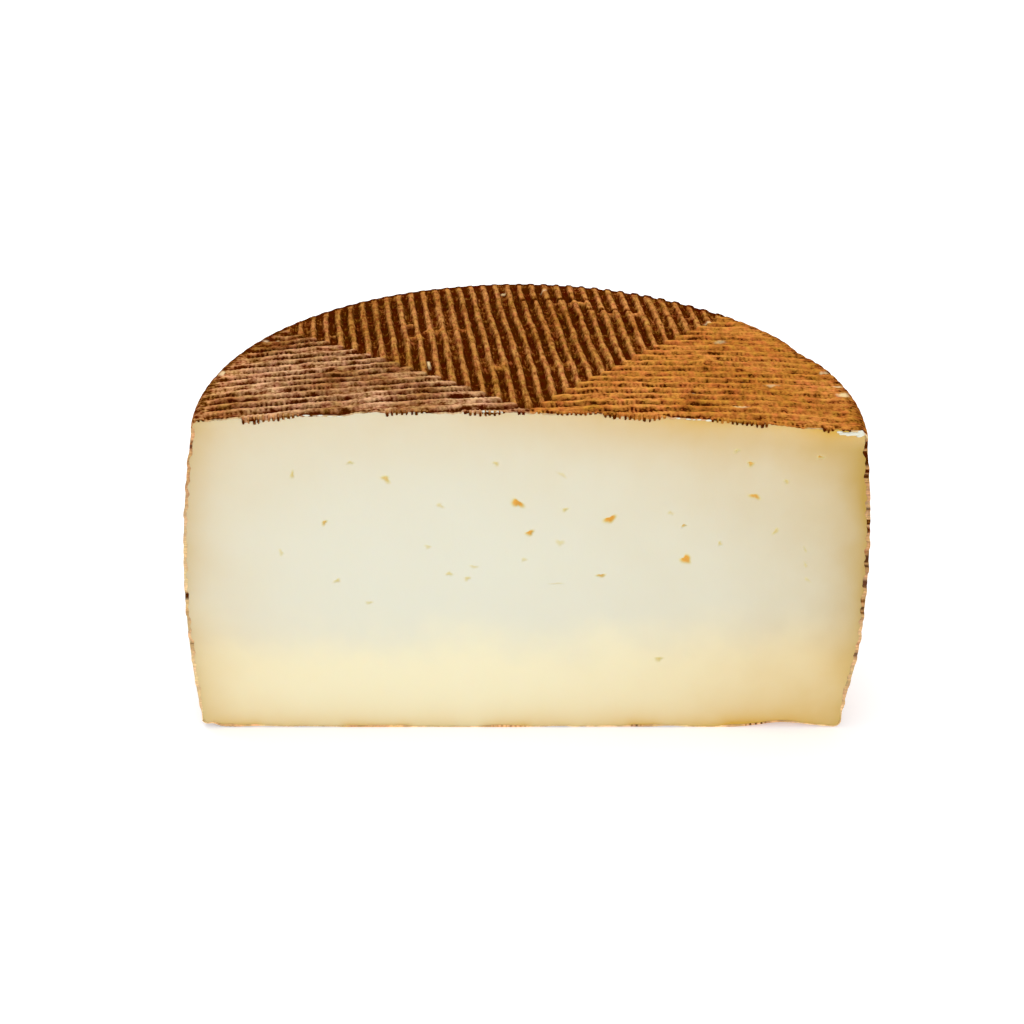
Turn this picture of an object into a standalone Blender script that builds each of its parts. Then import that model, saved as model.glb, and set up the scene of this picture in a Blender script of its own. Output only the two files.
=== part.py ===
"""A half wheel of pressed sheep's milk cheese, resting on its base with the cut face to the front.

The wheel is a low barrel that leans a little, with a domed and tilted top. Its two flat faces carry the
mould's ridges: sectors meet at an apex, and each ridge turns a square corner on the line between two
sectors. The round side carries the zigzag grooves of a plaited band. Metres, +Z up. The cut face looks
towards -Y, and the origin is under the middle of the bounding box.
"""

import bmesh
import bpy
import numpy as np
from mathutils.geometry import delaunay_2d_cdt

MM = 0.001

# The wheel
WHEEL_RADIUS = 105.0 * MM
HEIGHT = 113.3 * MM
BELLY_HEIGHT = 45.0 * MM
BARREL_ARC = 333.0 * MM
LEAN = 1.5 * MM
TOP_TILT = 0.0183
CROWN = 4.6 * MM
SHOULDER_RADIUS = 3.2 * MM
FOOT_RADIUS = 2.4 * MM
AXIS_BEHIND_CUT = 7.2 * MM

# The ridges of the two flat faces
PATTERN_YAW = np.radians(6.3)
APEX_BEHIND_CUT = 1.0 * MM
APEX_X = 0.9 * MM
RIDGE_PITCH = 4.1 * MM
CREST_WIDTH = 1.5 * MM
FLANK_WIDTH = 0.6 * MM
RIDGE_DEPTH = 1.5 * MM
RIDGE_DEPTH_AT_RIM = 0.9 * MM
RIM_FADE = 8.0 * MM

# The grooves of the plaited band on the round side
BAND_ROWS = 22
BAND_FOLDS = 34
BAND_SWING = 2.6 * MM
BAND_MARGIN = 4.5 * MM
BAND_DEPTH = 0.6 * MM

# How finely the surface is divided
DOME_EDGE = 26.0 * MM
BASE_EDGE = 120.0 * MM
SHORTEST_LEG = 0.5 * MM
ARC_STEPS = 2
WELD = 0.001 * MM

RIND_COLOUR = (0.38, 0.17, 0.055, 1.0)
RIND_ROUGHNESS = 0.55
PASTE_COLOUR = (0.81, 0.75, 0.58, 1.0)
PASTE_ROUGHNESS = 0.5

FRONT = -AXIS_BEHIND_CUT
RIM_HEIGHT = HEIGHT - CROWN


def barrel_radius(height):
    """The wheel's radius at a height: a circular arc whose widest point is at the belly."""
    return WHEEL_RADIUS - BARREL_ARC + np.sqrt(BARREL_ARC**2 - (height - BELLY_HEIGHT) ** 2)


TOP_RADIUS = barrel_radius(RIM_HEIGHT - SHOULDER_RADIUS) - SHOULDER_RADIUS
BASE_RADIUS = barrel_radius(FOOT_RADIUS) - FOOT_RADIUS


def axis_x(height):
    """Where the leaning wheel's axis stands along X at a height."""
    return LEAN * (height - BELLY_HEIGHT) / HEIGHT


def dome_height(x, y):
    """The top without its ridges: a paraboloid CROWN high over the rim's radius, tilted down towards +X."""
    return HEIGHT - TOP_TILT * x - CROWN * (x**2 + y**2) / TOP_RADIUS**2


def to_pattern(x, y):
    """A face's coordinates to the pattern's own, turned by the yaw about the apex."""
    dx = x - APEX_X
    dy = y - FRONT - APEX_BEHIND_CUT
    return (
        dx * np.cos(PATTERN_YAW) + dy * np.sin(PATTERN_YAW),
        dy * np.cos(PATTERN_YAW) - dx * np.sin(PATTERN_YAW),
    )


def from_pattern(u, v):
    """The pattern's coordinates to those of the face."""
    return np.array(
        [
            APEX_X + u * np.cos(PATTERN_YAW) - v * np.sin(PATTERN_YAW),
            FRONT + APEX_BEHIND_CUT + u * np.sin(PATTERN_YAW) + v * np.cos(PATTERN_YAW),
        ]
    )


APEX = from_pattern(0, 0)
ACROSS = from_pattern(1, 0) - APEX
BACK = from_pattern(0, 1) - APEX


def ridge_fall(x, y, radius):
    """How far a face lies under its crests.

    The distance that counts is min(|u|, v) behind the apex and v in front of it. Crests lie at whole pitches
    of it, with straight flanks down to a flat groove, and the depth fades towards the rim.
    """
    u, v = to_pattern(x, y)
    distance = np.where(v > 0, np.minimum(np.abs(u), v), v)
    from_crest = np.abs(distance - RIDGE_PITCH * np.round(distance / RIDGE_PITCH))
    share = np.clip((from_crest - CREST_WIDTH / 2) / FLANK_WIDTH, 0, 1)
    inward = np.clip((radius - np.hypot(x, y)) / RIM_FADE, 0, 1)
    return share * (RIDGE_DEPTH_AT_RIM + (RIDGE_DEPTH - RIDGE_DEPTH_AT_RIM) * inward)


def crease_distances(radius):
    """The distances at which a ridge's section bends: the edges of every crest and of every groove."""
    crests = RIDGE_PITCH * np.arange(0, int(radius / RIDGE_PITCH) + 1)
    half_crest = CREST_WIDTH / 2
    bends = np.array([-half_crest - FLANK_WIDTH, -half_crest, half_crest, half_crest + FLANK_WIDTH])
    distances = (crests[:, None] + bends).ravel()
    return distances[distances > 0]


class Plan:
    """A flat drawing: points, each kept once, and the edges between them."""

    def __init__(self):
        self.points = []
        self.edges = []
        self.numbers = {}

    def number(self, at):
        """The number of the point at a place."""
        key = tuple(np.round(np.asarray(at) / WELD).astype(int))
        if key not in self.numbers:
            self.numbers[key] = len(self.points)
            self.points.append(np.asarray(at, float))
        return self.numbers[key]

    def path(self, points):
        """Adds the edges of a polyline."""
        numbers = [self.number(at) for at in points]
        self.edges += [pair for pair in zip(numbers, numbers[1:]) if pair[0] != pair[1]]

    def filled(self):
        """The points, and the triangles between them inside the outline."""
        flat = [(x / MM, y / MM) for x, y in self.points]
        _, _, faces, origins, _, _ = delaunay_2d_cdt(flat, self.edges, [], 1, 1e-4)
        if not all(origins):
            raise RuntimeError("two creases cross, or one leaves the outline")
        triangles = np.array([[origins[corner][0] for corner in face] for face in faces])
        return np.array(self.points), triangles


def inside(point, radius):
    """Whether a point lies in the half disc, clear of its edge."""
    return np.hypot(*point) < radius - SHORTEST_LEG and point[1] > FRONT + SHORTEST_LEG / 2


def leg(start, heading, radius, longest):
    """The points after a start out to the half disc's edge, none further apart than the longest edge."""
    along = start @ heading
    reach = np.sqrt(along**2 - start @ start + radius**2) - along
    if heading[1] < 0:
        reach = min(reach, (FRONT - start[1]) / heading[1])
    count = int(np.ceil(reach / longest))
    points = [start + heading * reach * step / count for step in range(1, count + 1)]
    for corner in cut_corners(radius):
        if np.hypot(*(points[-1] - corner)) < SHORTEST_LEG:
            points[-1] = corner
    return points


def cut_corners(radius):
    """The two points where the rim meets the cut."""
    x = np.sqrt(radius**2 - FRONT**2)
    return np.array([(-x, FRONT), (x, FRONT)])


def creases(radius, longest):
    """The polylines along which one face bends, each ending on the half disc's edge."""
    lines = []
    diagonals = {-1: [APEX], 1: [APEX]}
    for distance in crease_distances(radius):
        for side, diagonal in diagonals.items():
            corner = from_pattern(side * distance, distance)
            if inside(corner, radius):
                sideways = leg(corner, side * ACROSS, radius, longest)
                backwards = leg(corner, BACK, radius, longest)
                lines.append(sideways[::-1] + [corner] + backwards)
                diagonal.append(corner)
        start = from_pattern(0, -distance)
        crossing = start + ACROSS * (FRONT - start[1]) / ACROSS[1]
        if crossing[0] < cut_corners(radius)[1, 0] - SHORTEST_LEG:
            lines.append([crossing] + leg(crossing, ACROSS, radius, longest))
    for side, diagonal in diagonals.items():
        outward = from_pattern(side, 1) - APEX
        lines.append(diagonal + leg(diagonal[-1], outward / np.hypot(*outward), radius, longest))
    return lines


def evenly(points, longest):
    """A polyline with more points on it, so that none are further apart than the longest edge."""
    dense = [points[0]]
    for start, end in zip(points, points[1:]):
        count = max(1, int(np.ceil(np.hypot(*(end - start)) / longest)))
        dense += [start + (end - start) * step / count for step in range(1, count + 1)]
    return dense


def face_plan(radius, longest):
    """The half disc's points and triangles, and its rim's points in order from +X round to -X."""
    lines = creases(radius, longest)
    ends = np.array([end for line in lines for end in (line[0], line[-1])])
    corners = cut_corners(radius)
    on_rim = np.vstack([ends[np.hypot(ends[:, 0], ends[:, 1]) > radius - WELD], corners])
    on_cut = np.vstack([ends[ends[:, 1] < FRONT + WELD], corners])
    rim = on_rim[np.argsort(rim_share(on_rim, radius))]
    plan = Plan()
    plan.path(rim)
    plan.path(evenly(on_cut[np.argsort(on_cut[:, 0])], longest))
    for line in lines:
        plan.path(line)
    rim_numbers = list(dict.fromkeys(plan.number(at) for at in rim))
    points, triangles = plan.filled()
    return points, triangles, points[rim_numbers]


def rim_share(points, radius):
    """How far rim points lie round the rim, from 0 at the cut at +X to 1 at the cut at -X."""
    first = -np.arcsin(AXIS_BEHIND_CUT / radius)
    angle = np.mod(np.arctan2(points[:, 1], points[:, 0]) - first + WELD, 2 * np.pi) - WELD
    return angle / (np.pi - 2 * first)


def around(share, radius, height):
    """Points at a share of the way round the wheel, from one side of the cut to the other."""
    first = -np.arcsin(AXIS_BEHIND_CUT / radius)
    angle = first + share * (np.pi - 2 * first)
    return np.stack([axis_x(height) + radius * np.cos(angle), radius * np.sin(angle), height], -1)


def top_points(plan):
    """The top face's points: the dome, less the ridges' fall."""
    x, y = plan.T
    height = dome_height(x, y) - ridge_fall(x, y, TOP_RADIUS)
    return np.stack([x + axis_x(RIM_HEIGHT), y, height], -1)


def base_points(plan):
    """The base's points: flat crests to stand on, with the grooves above them."""
    x, y = plan.T
    return np.stack([x + axis_x(0), y, ridge_fall(x, y, BASE_RADIUS)], -1)


def shoulder_height(share):
    """The height at which the round shoulder meets the side, at a share of the way round.

    The belly's circle has its centre over the origin, as the face's own coordinates do.
    """
    rim = around(share, TOP_RADIUS, np.full_like(share, BELLY_HEIGHT))
    return dome_height(rim[:, 0], rim[:, 1]) - SHOULDER_RADIUS


def shoulder_rows(rim):
    """Rows that turn over the shoulder from the top's edge to the side, where the ridges run out."""
    share = rim_share(rim, TOP_RADIUS)
    fall = ridge_fall(rim[:, 0], rim[:, 1], TOP_RADIUS)
    end_height = shoulder_height(share)
    rows = [top_points(rim)]
    for step in range(1, ARC_STEPS + 1):
        turn = np.pi / 2 * step / ARC_STEPS
        left = fall * np.cos(turn)
        radius = TOP_RADIUS + (barrel_radius(end_height) - TOP_RADIUS) * np.sin(turn) - left * np.sin(turn)
        height = end_height + (SHOULDER_RADIUS - left) * np.cos(turn)
        rows.append(around(share, radius, height))
    return rows


def foot_rows(rim):
    """Rows that turn under the foot from the side to the base's edge, where the ridges begin."""
    share = rim_share(rim, BASE_RADIUS)
    fall = ridge_fall(rim[:, 0], rim[:, 1], BASE_RADIUS)
    rows = []
    for step in range(ARC_STEPS):
        turn = np.pi / 2 * step / ARC_STEPS
        left = fall * np.sin(turn)
        radius = BASE_RADIUS + (FOOT_RADIUS - left) * np.cos(turn)
        height = FOOT_RADIUS - (FOOT_RADIUS - left) * np.sin(turn)
        rows.append(around(share, radius, height))
    return rows + [base_points(rim)]


def side_patch(top_rim, base_rim):
    """The side's points and triangles: zigzag creases, by turns a crest and a groove, between two rims.

    The side is drawn unrolled, with the way round across and the way up along it, and then wrapped.
    """
    length, rise = np.pi * WHEEL_RADIUS, RIM_HEIGHT
    top_shares, base_shares = rim_share(top_rim, TOP_RADIUS), rim_share(base_rim, BASE_RADIUS)
    shares = np.linspace(0, 1, BAND_FOLDS + 1)
    swing = BAND_SWING * np.where(np.arange(BAND_FOLDS + 1) % 2, 1, -1)
    plan = Plan()
    plan.path([(share * length, 0) for share in base_shares])
    plan.path([(share * length, rise) for share in top_shares])
    ends = {0: [(0, 0)], BAND_FOLDS: [(length, 0)]}
    fall = {}
    for row in range(2 * BAND_ROWS + 1):
        level = BAND_MARGIN + (rise - 2 * BAND_MARGIN) * row / (2 * BAND_ROWS)
        zigzag = np.stack([shares * length, level + swing], -1)
        plan.path(zigzag)
        for at in zigzag:
            fall[plan.number(at)] = BAND_DEPTH * (row % 2)
        for fold, end in ends.items():
            end.append(tuple(zigzag[fold]))
    plan.path(ends[0] + [(0, rise)])
    plan.path(ends[BAND_FOLDS] + [(length, rise)])
    points, triangles = plan.filled()
    share, climb = points[:, 0] / length, points[:, 1] / rise
    height = FOOT_RADIUS + climb * (shoulder_height(share) - FOOT_RADIUS)
    depth = np.array([fall.get(number, 0) for number in range(len(points))])
    return around(share, barrel_radius(height) - depth, height), triangles


def strip(rows):
    """The points and triangles between rows of equally many points."""
    points = np.concatenate(rows)
    count = len(rows[0])
    start = (np.arange(len(rows) - 1)[:, None] * count + np.arange(count - 1)).ravel()
    lower = np.stack([start, start + 1, start + count], -1)
    upper = np.stack([start + 1, start + count + 1, start + count], -1)
    return points, np.concatenate([lower, upper])


def material(name, colour, roughness):
    """A plain opaque material."""
    made = bpy.data.materials.new(name)
    made.use_nodes = True
    shader = made.node_tree.nodes["Principled BSDF"]
    shader.inputs["Base Color"].default_value = colour
    shader.inputs["Roughness"].default_value = roughness
    return made


def half_wheel():
    """Joins the patches, closes them with the cut face and centres the solid over the origin."""
    top, top_triangles, top_rim = face_plan(TOP_RADIUS, DOME_EDGE)
    base, base_triangles, base_rim = face_plan(BASE_RADIUS, BASE_EDGE)
    patches = [
        (top_points(top), top_triangles),
        (base_points(base), base_triangles),
        strip(shoulder_rows(top_rim)),
        strip(foot_rows(base_rim)),
        side_patch(top_rim, base_rim),
    ]
    shape = bmesh.new()
    for points, triangles in patches:
        made = [shape.verts.new(point) for point in points]
        for triangle in triangles:
            shape.faces.new([made[corner] for corner in triangle])
    bmesh.ops.remove_doubles(shape, verts=shape.verts, dist=WELD)
    rim_edges = [edge for edge in shape.edges if edge.is_boundary]
    cut = bmesh.ops.contextual_create(shape, geom=rim_edges)["faces"]
    bmesh.ops.recalc_face_normals(shape, faces=shape.faces)
    for face in cut:
        face.material_index = 1
    bmesh.ops.triangulate(shape, faces=cut)
    places = np.array([vertex.co for vertex in shape.verts])
    low, high = places.min(axis=0), places.max(axis=0)
    middle = (low + high) / 2
    bmesh.ops.translate(shape, verts=shape.verts, vec=(-middle[0], -middle[1], -low[2]))
    mesh = bpy.data.meshes.new("half_wheel")
    shape.to_mesh(mesh)
    shape.free()
    mesh.materials.append(material("waxed_rind", RIND_COLOUR, RIND_ROUGHNESS))
    mesh.materials.append(material("paste", PASTE_COLOUR, PASTE_ROUGHNESS))
    wheel = bpy.data.objects.new("half_wheel", mesh)
    bpy.context.scene.collection.objects.link(wheel)


def main():
    """Clears the scene and makes the half wheel."""
    for old in list(bpy.data.objects):
        bpy.data.objects.remove(old, do_unlink=True)
    half_wheel()


main()
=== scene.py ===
"""The looks of a half wheel of manchego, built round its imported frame.

The rind is a set of crusts. The top and the base each have a left, a right and a back sector, the last in
two halves, and the sectors meet along the mould's corner lines. The plaited side is two halves that meet
where the band's ends overlapped. The paste is one solid behind the cut face. Metres, +Z up, the cut face
towards -Y. A place on a flat face is given from the wheel's axis: x to the right and y to the back.
"""

from collections import namedtuple

import bpy
import numpy as np
from bpy.props import FloatProperty, FloatVectorProperty, IntProperty, PointerProperty
from mathutils import Matrix, Vector


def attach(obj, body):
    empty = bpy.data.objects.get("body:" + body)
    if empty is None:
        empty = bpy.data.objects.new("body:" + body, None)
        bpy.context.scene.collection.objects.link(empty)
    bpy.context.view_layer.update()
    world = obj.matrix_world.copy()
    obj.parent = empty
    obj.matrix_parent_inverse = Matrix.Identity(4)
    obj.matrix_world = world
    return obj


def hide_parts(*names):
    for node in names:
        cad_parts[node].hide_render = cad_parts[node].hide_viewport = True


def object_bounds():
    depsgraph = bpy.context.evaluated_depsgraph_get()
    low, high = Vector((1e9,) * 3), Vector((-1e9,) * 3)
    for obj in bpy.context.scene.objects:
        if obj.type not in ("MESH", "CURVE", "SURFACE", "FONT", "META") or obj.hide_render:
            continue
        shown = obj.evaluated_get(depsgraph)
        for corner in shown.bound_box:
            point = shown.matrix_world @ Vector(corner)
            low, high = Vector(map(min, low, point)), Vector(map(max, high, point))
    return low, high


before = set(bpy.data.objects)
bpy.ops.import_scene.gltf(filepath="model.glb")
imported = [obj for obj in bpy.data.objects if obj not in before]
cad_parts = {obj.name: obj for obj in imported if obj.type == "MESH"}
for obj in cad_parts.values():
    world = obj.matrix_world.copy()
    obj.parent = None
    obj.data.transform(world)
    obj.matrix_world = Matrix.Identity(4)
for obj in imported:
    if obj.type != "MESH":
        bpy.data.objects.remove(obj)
CAD_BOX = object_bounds()

bl_info = {
    "name": "Half Wheel of Manchego",
    "version": (1, 0, 0),
    "blender": (4, 5, 0),
    "location": "3D View > Sidebar > Cheese",
    "description": "Builds a half wheel of manchego with its moulded rind, its cut paste and a plain studio",
    "category": "Add Mesh",
}

MM = 0.001
NODE = "half_wheel"
BODY = "root"
CUT_Y = CAD_BOX[0].y

# How finely the grids are divided. A ridge's samples are shares of the pitch, close together on its flanks,
# and so is the distance from either end within which there is no row. Then come the rows that turn from the
# cut to the ridges, to how many ridges these reach at the left and right, a sector's columns, the round
# edge's turns, the side's rows and columns, and the grain's lattice
RIDGE_SAMPLES = np.array([-0.39, -0.29, -0.235, -0.185, -0.135, -0.075, 0,
                          0.075, 0.135, 0.185, 0.235, 0.29, 0.39, 0.5])
NEAR_ROW = 0.02
CUT_ROWS = 52
CUT_ROWS_PITCHES = {-1: 3, 1: 1}
SECTOR_COLUMNS = {"back": 290, "flank": 320}
EDGE_TURNS = 8
SIDE_ROWS = 236
SIDE_COLUMNS = 380
LATTICE = 48


def linear(code):
    """An sRGB hex value such as 0xC68F48 as linear red, green and blue, by the curve of the sRGB standard."""
    srgb = np.array([(code >> shift & 255) / 255 for shift in (16, 8, 0)])
    return tuple(np.where(srgb <= 0.04045, srgb / 12.92, ((srgb + 0.055) / 1.055) ** 2.4))


def size(name, description, millimetres):
    """A length property whose default is given in millimetres."""
    return FloatProperty(
        name=name, description=description, default=millimetres * MM, unit="LENGTH", precision=5
    )


def colour(name, description, code):
    """A colour property whose default is an sRGB hex value."""
    return FloatVectorProperty(name=name, description=description, default=linear(code), subtype="COLOR")


class WheelSizes(bpy.types.PropertyGroup):
    """The wheel without its relief."""

    radius: size("Radius", "Radius where the barrel is widest", 105.0)
    height: size("Height", "Height of the crests in the middle of the top", 113.3)
    belly: size("Belly", "Height at which the barrel is widest", 45.0)
    barrel_arc: size("Barrel arc", "Radius of the arc that the side follows from top to base", 333.0)
    lean: size("Lean", "How far the axis moves along X from the base to the top", 1.5)
    crown: size("Crown", "Rise of the domed top from its rim to its middle", 4.6)
    shoulder: size("Shoulder", "Radius of the round edge of the top", 3.2)
    foot: size("Foot", "Radius of the round edge of the base", 2.4)
    axis_behind_cut: size("Axis behind cut", "Distance from the cut back to the wheel's axis", 7.2)
    top_tilt: FloatProperty(name="Top tilt", description="Fall of the top towards +X", default=0.0183)


class RidgeSizes(bpy.types.PropertyGroup):
    """The mould's ridges on the flat faces."""

    yaw: FloatProperty(
        name="Yaw", description="Turn of the pattern", default=np.radians(6.3), subtype="ANGLE"
    )
    apex_behind_cut: size("Apex behind cut", "Distance from the cut back to where the sectors meet", 1.0)
    apex_x: size("Apex X", "Distance along X from the axis to where the sectors meet", 0.9)
    pitch: size("Pitch", "Distance from crest to crest", 4.1)
    crest: size("Crest", "Width of a crest", 0.9)
    flank: size("Flank", "Width of a ridge's flank, seen from above", 0.8)
    back_depth: size("Depth at the back", "Depth of the back sector's grooves", 1.8)
    left_depth: size("Depth at the left", "Depth of the left sector's grooves", 1.45)
    right_depth: size("Depth at the right", "Depth of the right sector's grooves", 1.2)
    corner_depth: size("Depth at the corners", "Depth of the grooves where two sectors meet", 1.5)
    bead_pitch: size("Bead pitch", "Distance between the twists pressed into a flank", 1.42)
    bead: size("Bead", "How far a twist stands out from its flank", 0.34)


class BandSizes(bpy.types.PropertyGroup):
    """The plaited band's print on the round side."""

    rows: IntProperty(name="Rows", description="Strands one above the other", default=22)
    folds: IntProperty(name="Folds", description="Times that a strand turns on the half wheel", default=34)
    swing: size("Swing", "How far a strand swings up and down from its middle", 2.6)
    margin: size("Margin", "Plain height above and below the strands", 4.5)
    depth: size("Depth", "Depth of the grooves between strands", 0.5)
    overlap: size("Overlap", "Step at the back where the band's ends overlapped", 0.35)


class CheeseColours(bpy.types.PropertyGroup):
    """Colours of rind and paste."""

    crest: colour("Crest", "Golden tan of the rubbed crests", 0x9A6429)
    flank: colour("Flank", "Orange brown of the ridges' sides", 0x7C4410)
    # painted shade: the grooves' dark brown is partly the rind's own colour and partly painted shade deep in
    # them
    groove: colour("Groove", "Dark brown of the grooves", 0x4A1A00)
    # painted sheen: this pale bloom is partly real dusting and partly a painted sheen, most of all on the
    # left sector
    dust: colour("Dust", "Pale bloom on the rubbed parts", 0xCAA07B)
    gold: colour("Gold", "Orange of the oiled parts", 0xBD7528)
    fleck: colour("Fleck", "Cream where paste shows through the rind", 0xEACD9C)
    paste: colour("Paste", "Ivory of the cut face", 0xE1E0CE)
    paste_low: colour("Lower paste", "Warmer cream towards the base", 0xF2EAC7)
    paste_dry: colour("Dry paste", "Yellow tan of the drier paste under the rind", 0xD6A73C)
    # painted shade: the sides' olive tan is partly drier paste and partly painted shade beside the rind
    paste_edge_and_shade: colour("Paste's edge", "Olive tan of the driest paste at the sides", 0xB9953C)
    eye: colour("Eye", "Gold inside the deeper small holes", 0xE6AC42)
    eye_rim: colour("Eye rim", "Pale mustard round the small holes, and in the shallow ones", 0xDACB8B)
    floor: colour("Floor", "Pale grey of the studio floor, which its glow makes white", 0xE4E4E4)


class HalfWheel(bpy.types.PropertyGroup):
    """All sizes and colours of the half wheel."""

    wheel: PointerProperty(type=WheelSizes)
    ridges: PointerProperty(type=RidgeSizes)
    band: PointerProperty(type=BandSizes)
    colours: PointerProperty(type=CheeseColours)


# Numbers that the shapes share


def blend(low, high, value):
    """An eased step, from 0 at the low value to 1 at the high one."""
    share = np.clip((value - low) / (high - low), 0, 1)
    return share * share * (3 - 2 * share)


Grain = namedtuple("Grain", "strength cell seed")
GRAINS = {
    # Each kind of unevenness: its strength, how far apart its random numbers stand, and its seed. The first
    # nine are made for each face or sector, whose own seed is added
    "crest width": Grain(0.36, 6 * MM, 0),
    "twist drift": Grain(2.0, 8 * MM, 1),
    "twist jitter": Grain(1.2, 2.5 * MM, 2),
    "twist size": Grain(0.6, 3 * MM, 3),
    "groove filling": Grain(1.0, 11 * MM, 4),
    "wander": Grain(0.45 * MM, 22 * MM, 0),
    "small wander": Grain(0.16 * MM, 6 * MM, 2),
    "lumps": Grain(0.28 * MM, 11 * MM, 0),
    "small lumps": Grain(0.1 * MM, 3.5 * MM, 1),
    "bridge lumps": Grain(0.3, 2.2 * MM, 60),
    "groove lumps": Grain(0.2 * MM, 1.3 * MM, 61),
    "crest lumps": Grain(0.16 * MM, 1.9 * MM, 62),
    "bridge places": Grain(1.0, 9 * MM, 63),
    "ragged edge": Grain(0.2 * MM, 2.3 * MM, 120),
    "finely ragged edge": Grain(0.12 * MM, 0.8 * MM, 121),
    "ragged fleck": Grain(0.35, 0.9 * MM, 130),
    "bead drift": Grain(2.5, 9 * MM, 140),
    "thin rind": Grain(0.35, 1.1 * MM, 141),
    "base section": Grain(0.3, 3 * MM, 142),
    "burr places": Grain(1.0, 7 * MM, 143),
    "bead jitter": Grain(1.6, 2.1 * MM, 144),
    "clear beads": Grain(1.0, 3.1 * MM, 145),
    "behind the bars": Grain(0.15, 1.3 * MM, 146),
    "pale rind": Grain(1.0, 5 * MM, 147),
    "fringe blotch": Grain(0.35, 4 * MM, 148),
    "strand wander": Grain(0.35 * MM, 9 * MM, 150),
    "small band lumps": Grain(0.12 * MM, 2.6 * MM, 151),
    "band lumps": Grain(0.1 * MM, 12 * MM, 152),
    "side dots": Grain(1.0, 1.0 * MM, 153),
    "base dots": Grain(2.0, 4 * MM, 155),
    "band wear": Grain(0.25, 18 * MM, 156),
    "pale side": Grain(0.12, 5 * MM, 157),
    "side section": Grain(0.35, 1.9 * MM, 158),
    "paste waves": Grain(0.07 * MM, 16 * MM, 160),
    "knife marks": Grain(0.02 * MM, 1.6 * MM, 161),
    "uneven crumb": Grain(0.3, 0.8, 170),
    "uneven twist": Grain(0.3, 0.8, 171),
}
RIDGE_SEEDS = {"top": 10, "base": 40}
SECTOR_SEEDS = {"back": 0, "left": 8, "right": 16}
WANDER_SEEDS = {"top": 70, "base": 80}
LUMP_SEEDS = {"top": 90, "base": 95}


def grain(name, places, seed=0):
    """One kind of unevenness at some places: smooth random values from minus to plus its strength.

    Random numbers stand on a cubic lattice a cell apart, and a place eases between the eight around it.
    """
    strength, cell, own_seed = GRAINS[name]
    lattice = np.random.default_rng(own_seed + seed).uniform(-1, 1, (LATTICE, LATTICE, LATTICE))
    at = places / cell
    corner_at = np.floor(at).astype(int)
    ease = at - corner_at
    ease = ease * ease * (3 - 2 * ease)
    value = np.zeros(at.shape[:-1])
    for corner in np.ndindex(2, 2, 2):
        weight = np.prod(np.where(corner, ease, 1 - ease), axis=-1)
        value += weight * lattice[tuple(np.moveaxis((corner_at + corner) % LATTICE, -1, 0))]
    return strength * value


def raised_grain(name, places):
    """One kind of unevenness raised, so that it runs from 0 to twice its strength."""
    return GRAINS[name].strength + grain(name, places)


def stretches(at, rows, outside, inside):
    """How much a place lies in one of some stretches, each given by its start, its end and its strength.

    The ends are eased: they begin outside the stretch by one distance and are done inside it by another.
    """
    shares = [
        strength * blend(first - outside, first + inside, at) * blend(last + outside, last - inside, at)
        for first, last, strength in rows
    ]
    return np.maximum.reduce(shares)


def flat(x, y):
    """Places on a flat face as points, for the grain to read."""
    return np.stack([x, y, np.zeros_like(x)], -1)


def in_line(x):
    """Places along a line as points, for the grain to read."""
    return flat(x, np.zeros_like(x))


# The wheel's own surfaces


def barrel_radius(form, height):
    """The wheel's radius at a height: a circular arc whose widest point is at the belly."""
    wheel = form.wheel
    return wheel.radius - wheel.barrel_arc + np.sqrt(wheel.barrel_arc**2 - (height - wheel.belly) ** 2)


def axis_x(form, height):
    """Where the leaning axis stands along X at a height."""
    return form.wheel.lean * (height - form.wheel.belly) / form.wheel.height


# The right half's swelling: how far it stands out, how much further at the rim, and where it eases in and
# out, by the height or by the share of the way round
SWELLING = 1.0 * MM
RIM_SWELLING = 0.5 * MM
SWELLING_HEIGHTS = (10 * MM, 30 * MM)
SWELLING_END = (0.62, 0.42)
RIM_HEIGHTS = (85 * MM, 105 * MM)
RIM_SWELLING_START = (0.01, 0.08)
RIM_DENT = (0.174, 0.022, 1.4 * MM)  # its share of the way round, its half width as a share, and its depth


def swelling(share, height):
    """How far the right half stands out from the round, less the dent in its rim.

    It eases in above the foot and fades out behind. The dent is a bell round the wheel that fades downwards.
    """
    at_rim = blend(*RIM_HEIGHTS, height)
    out = SWELLING + RIM_SWELLING * blend(*RIM_SWELLING_START, share) * at_rim
    out = out * blend(*SWELLING_HEIGHTS, height) * blend(*SWELLING_END, share)
    at, half_width, depth = RIM_DENT
    return out - depth * np.exp(-(((share - at) / half_width) ** 2)) * at_rim


def first_angle(form, radius):
    """The angle round the axis at which a circle meets the cut at +X."""
    return -np.arcsin(form.wheel.axis_behind_cut / radius)


def angle_at(form, share, radius):
    """The angle round the axis at a share of the way round the back, from the cut at +X to the cut at -X."""
    first = first_angle(form, radius)
    return first + share * (np.pi - 2 * first)


def around(form, share, radius, height):
    """Points at a share of the way round the wheel, at the swelling's distance outside a radius."""
    radius = radius + swelling(share, height)
    angle = angle_at(form, share, radius)
    x = axis_x(form, height) + radius * np.cos(angle)
    y = CUT_Y + form.wheel.axis_behind_cut + radius * np.sin(angle)
    return np.stack(np.broadcast_arrays(x, y, height), -1)


def outwards(form, share, radius):
    """The level direction away from the axis at a share of the way round."""
    angle = angle_at(form, share, radius)
    return np.stack([np.cos(angle), np.sin(angle), np.zeros_like(angle)], -1)


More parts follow.
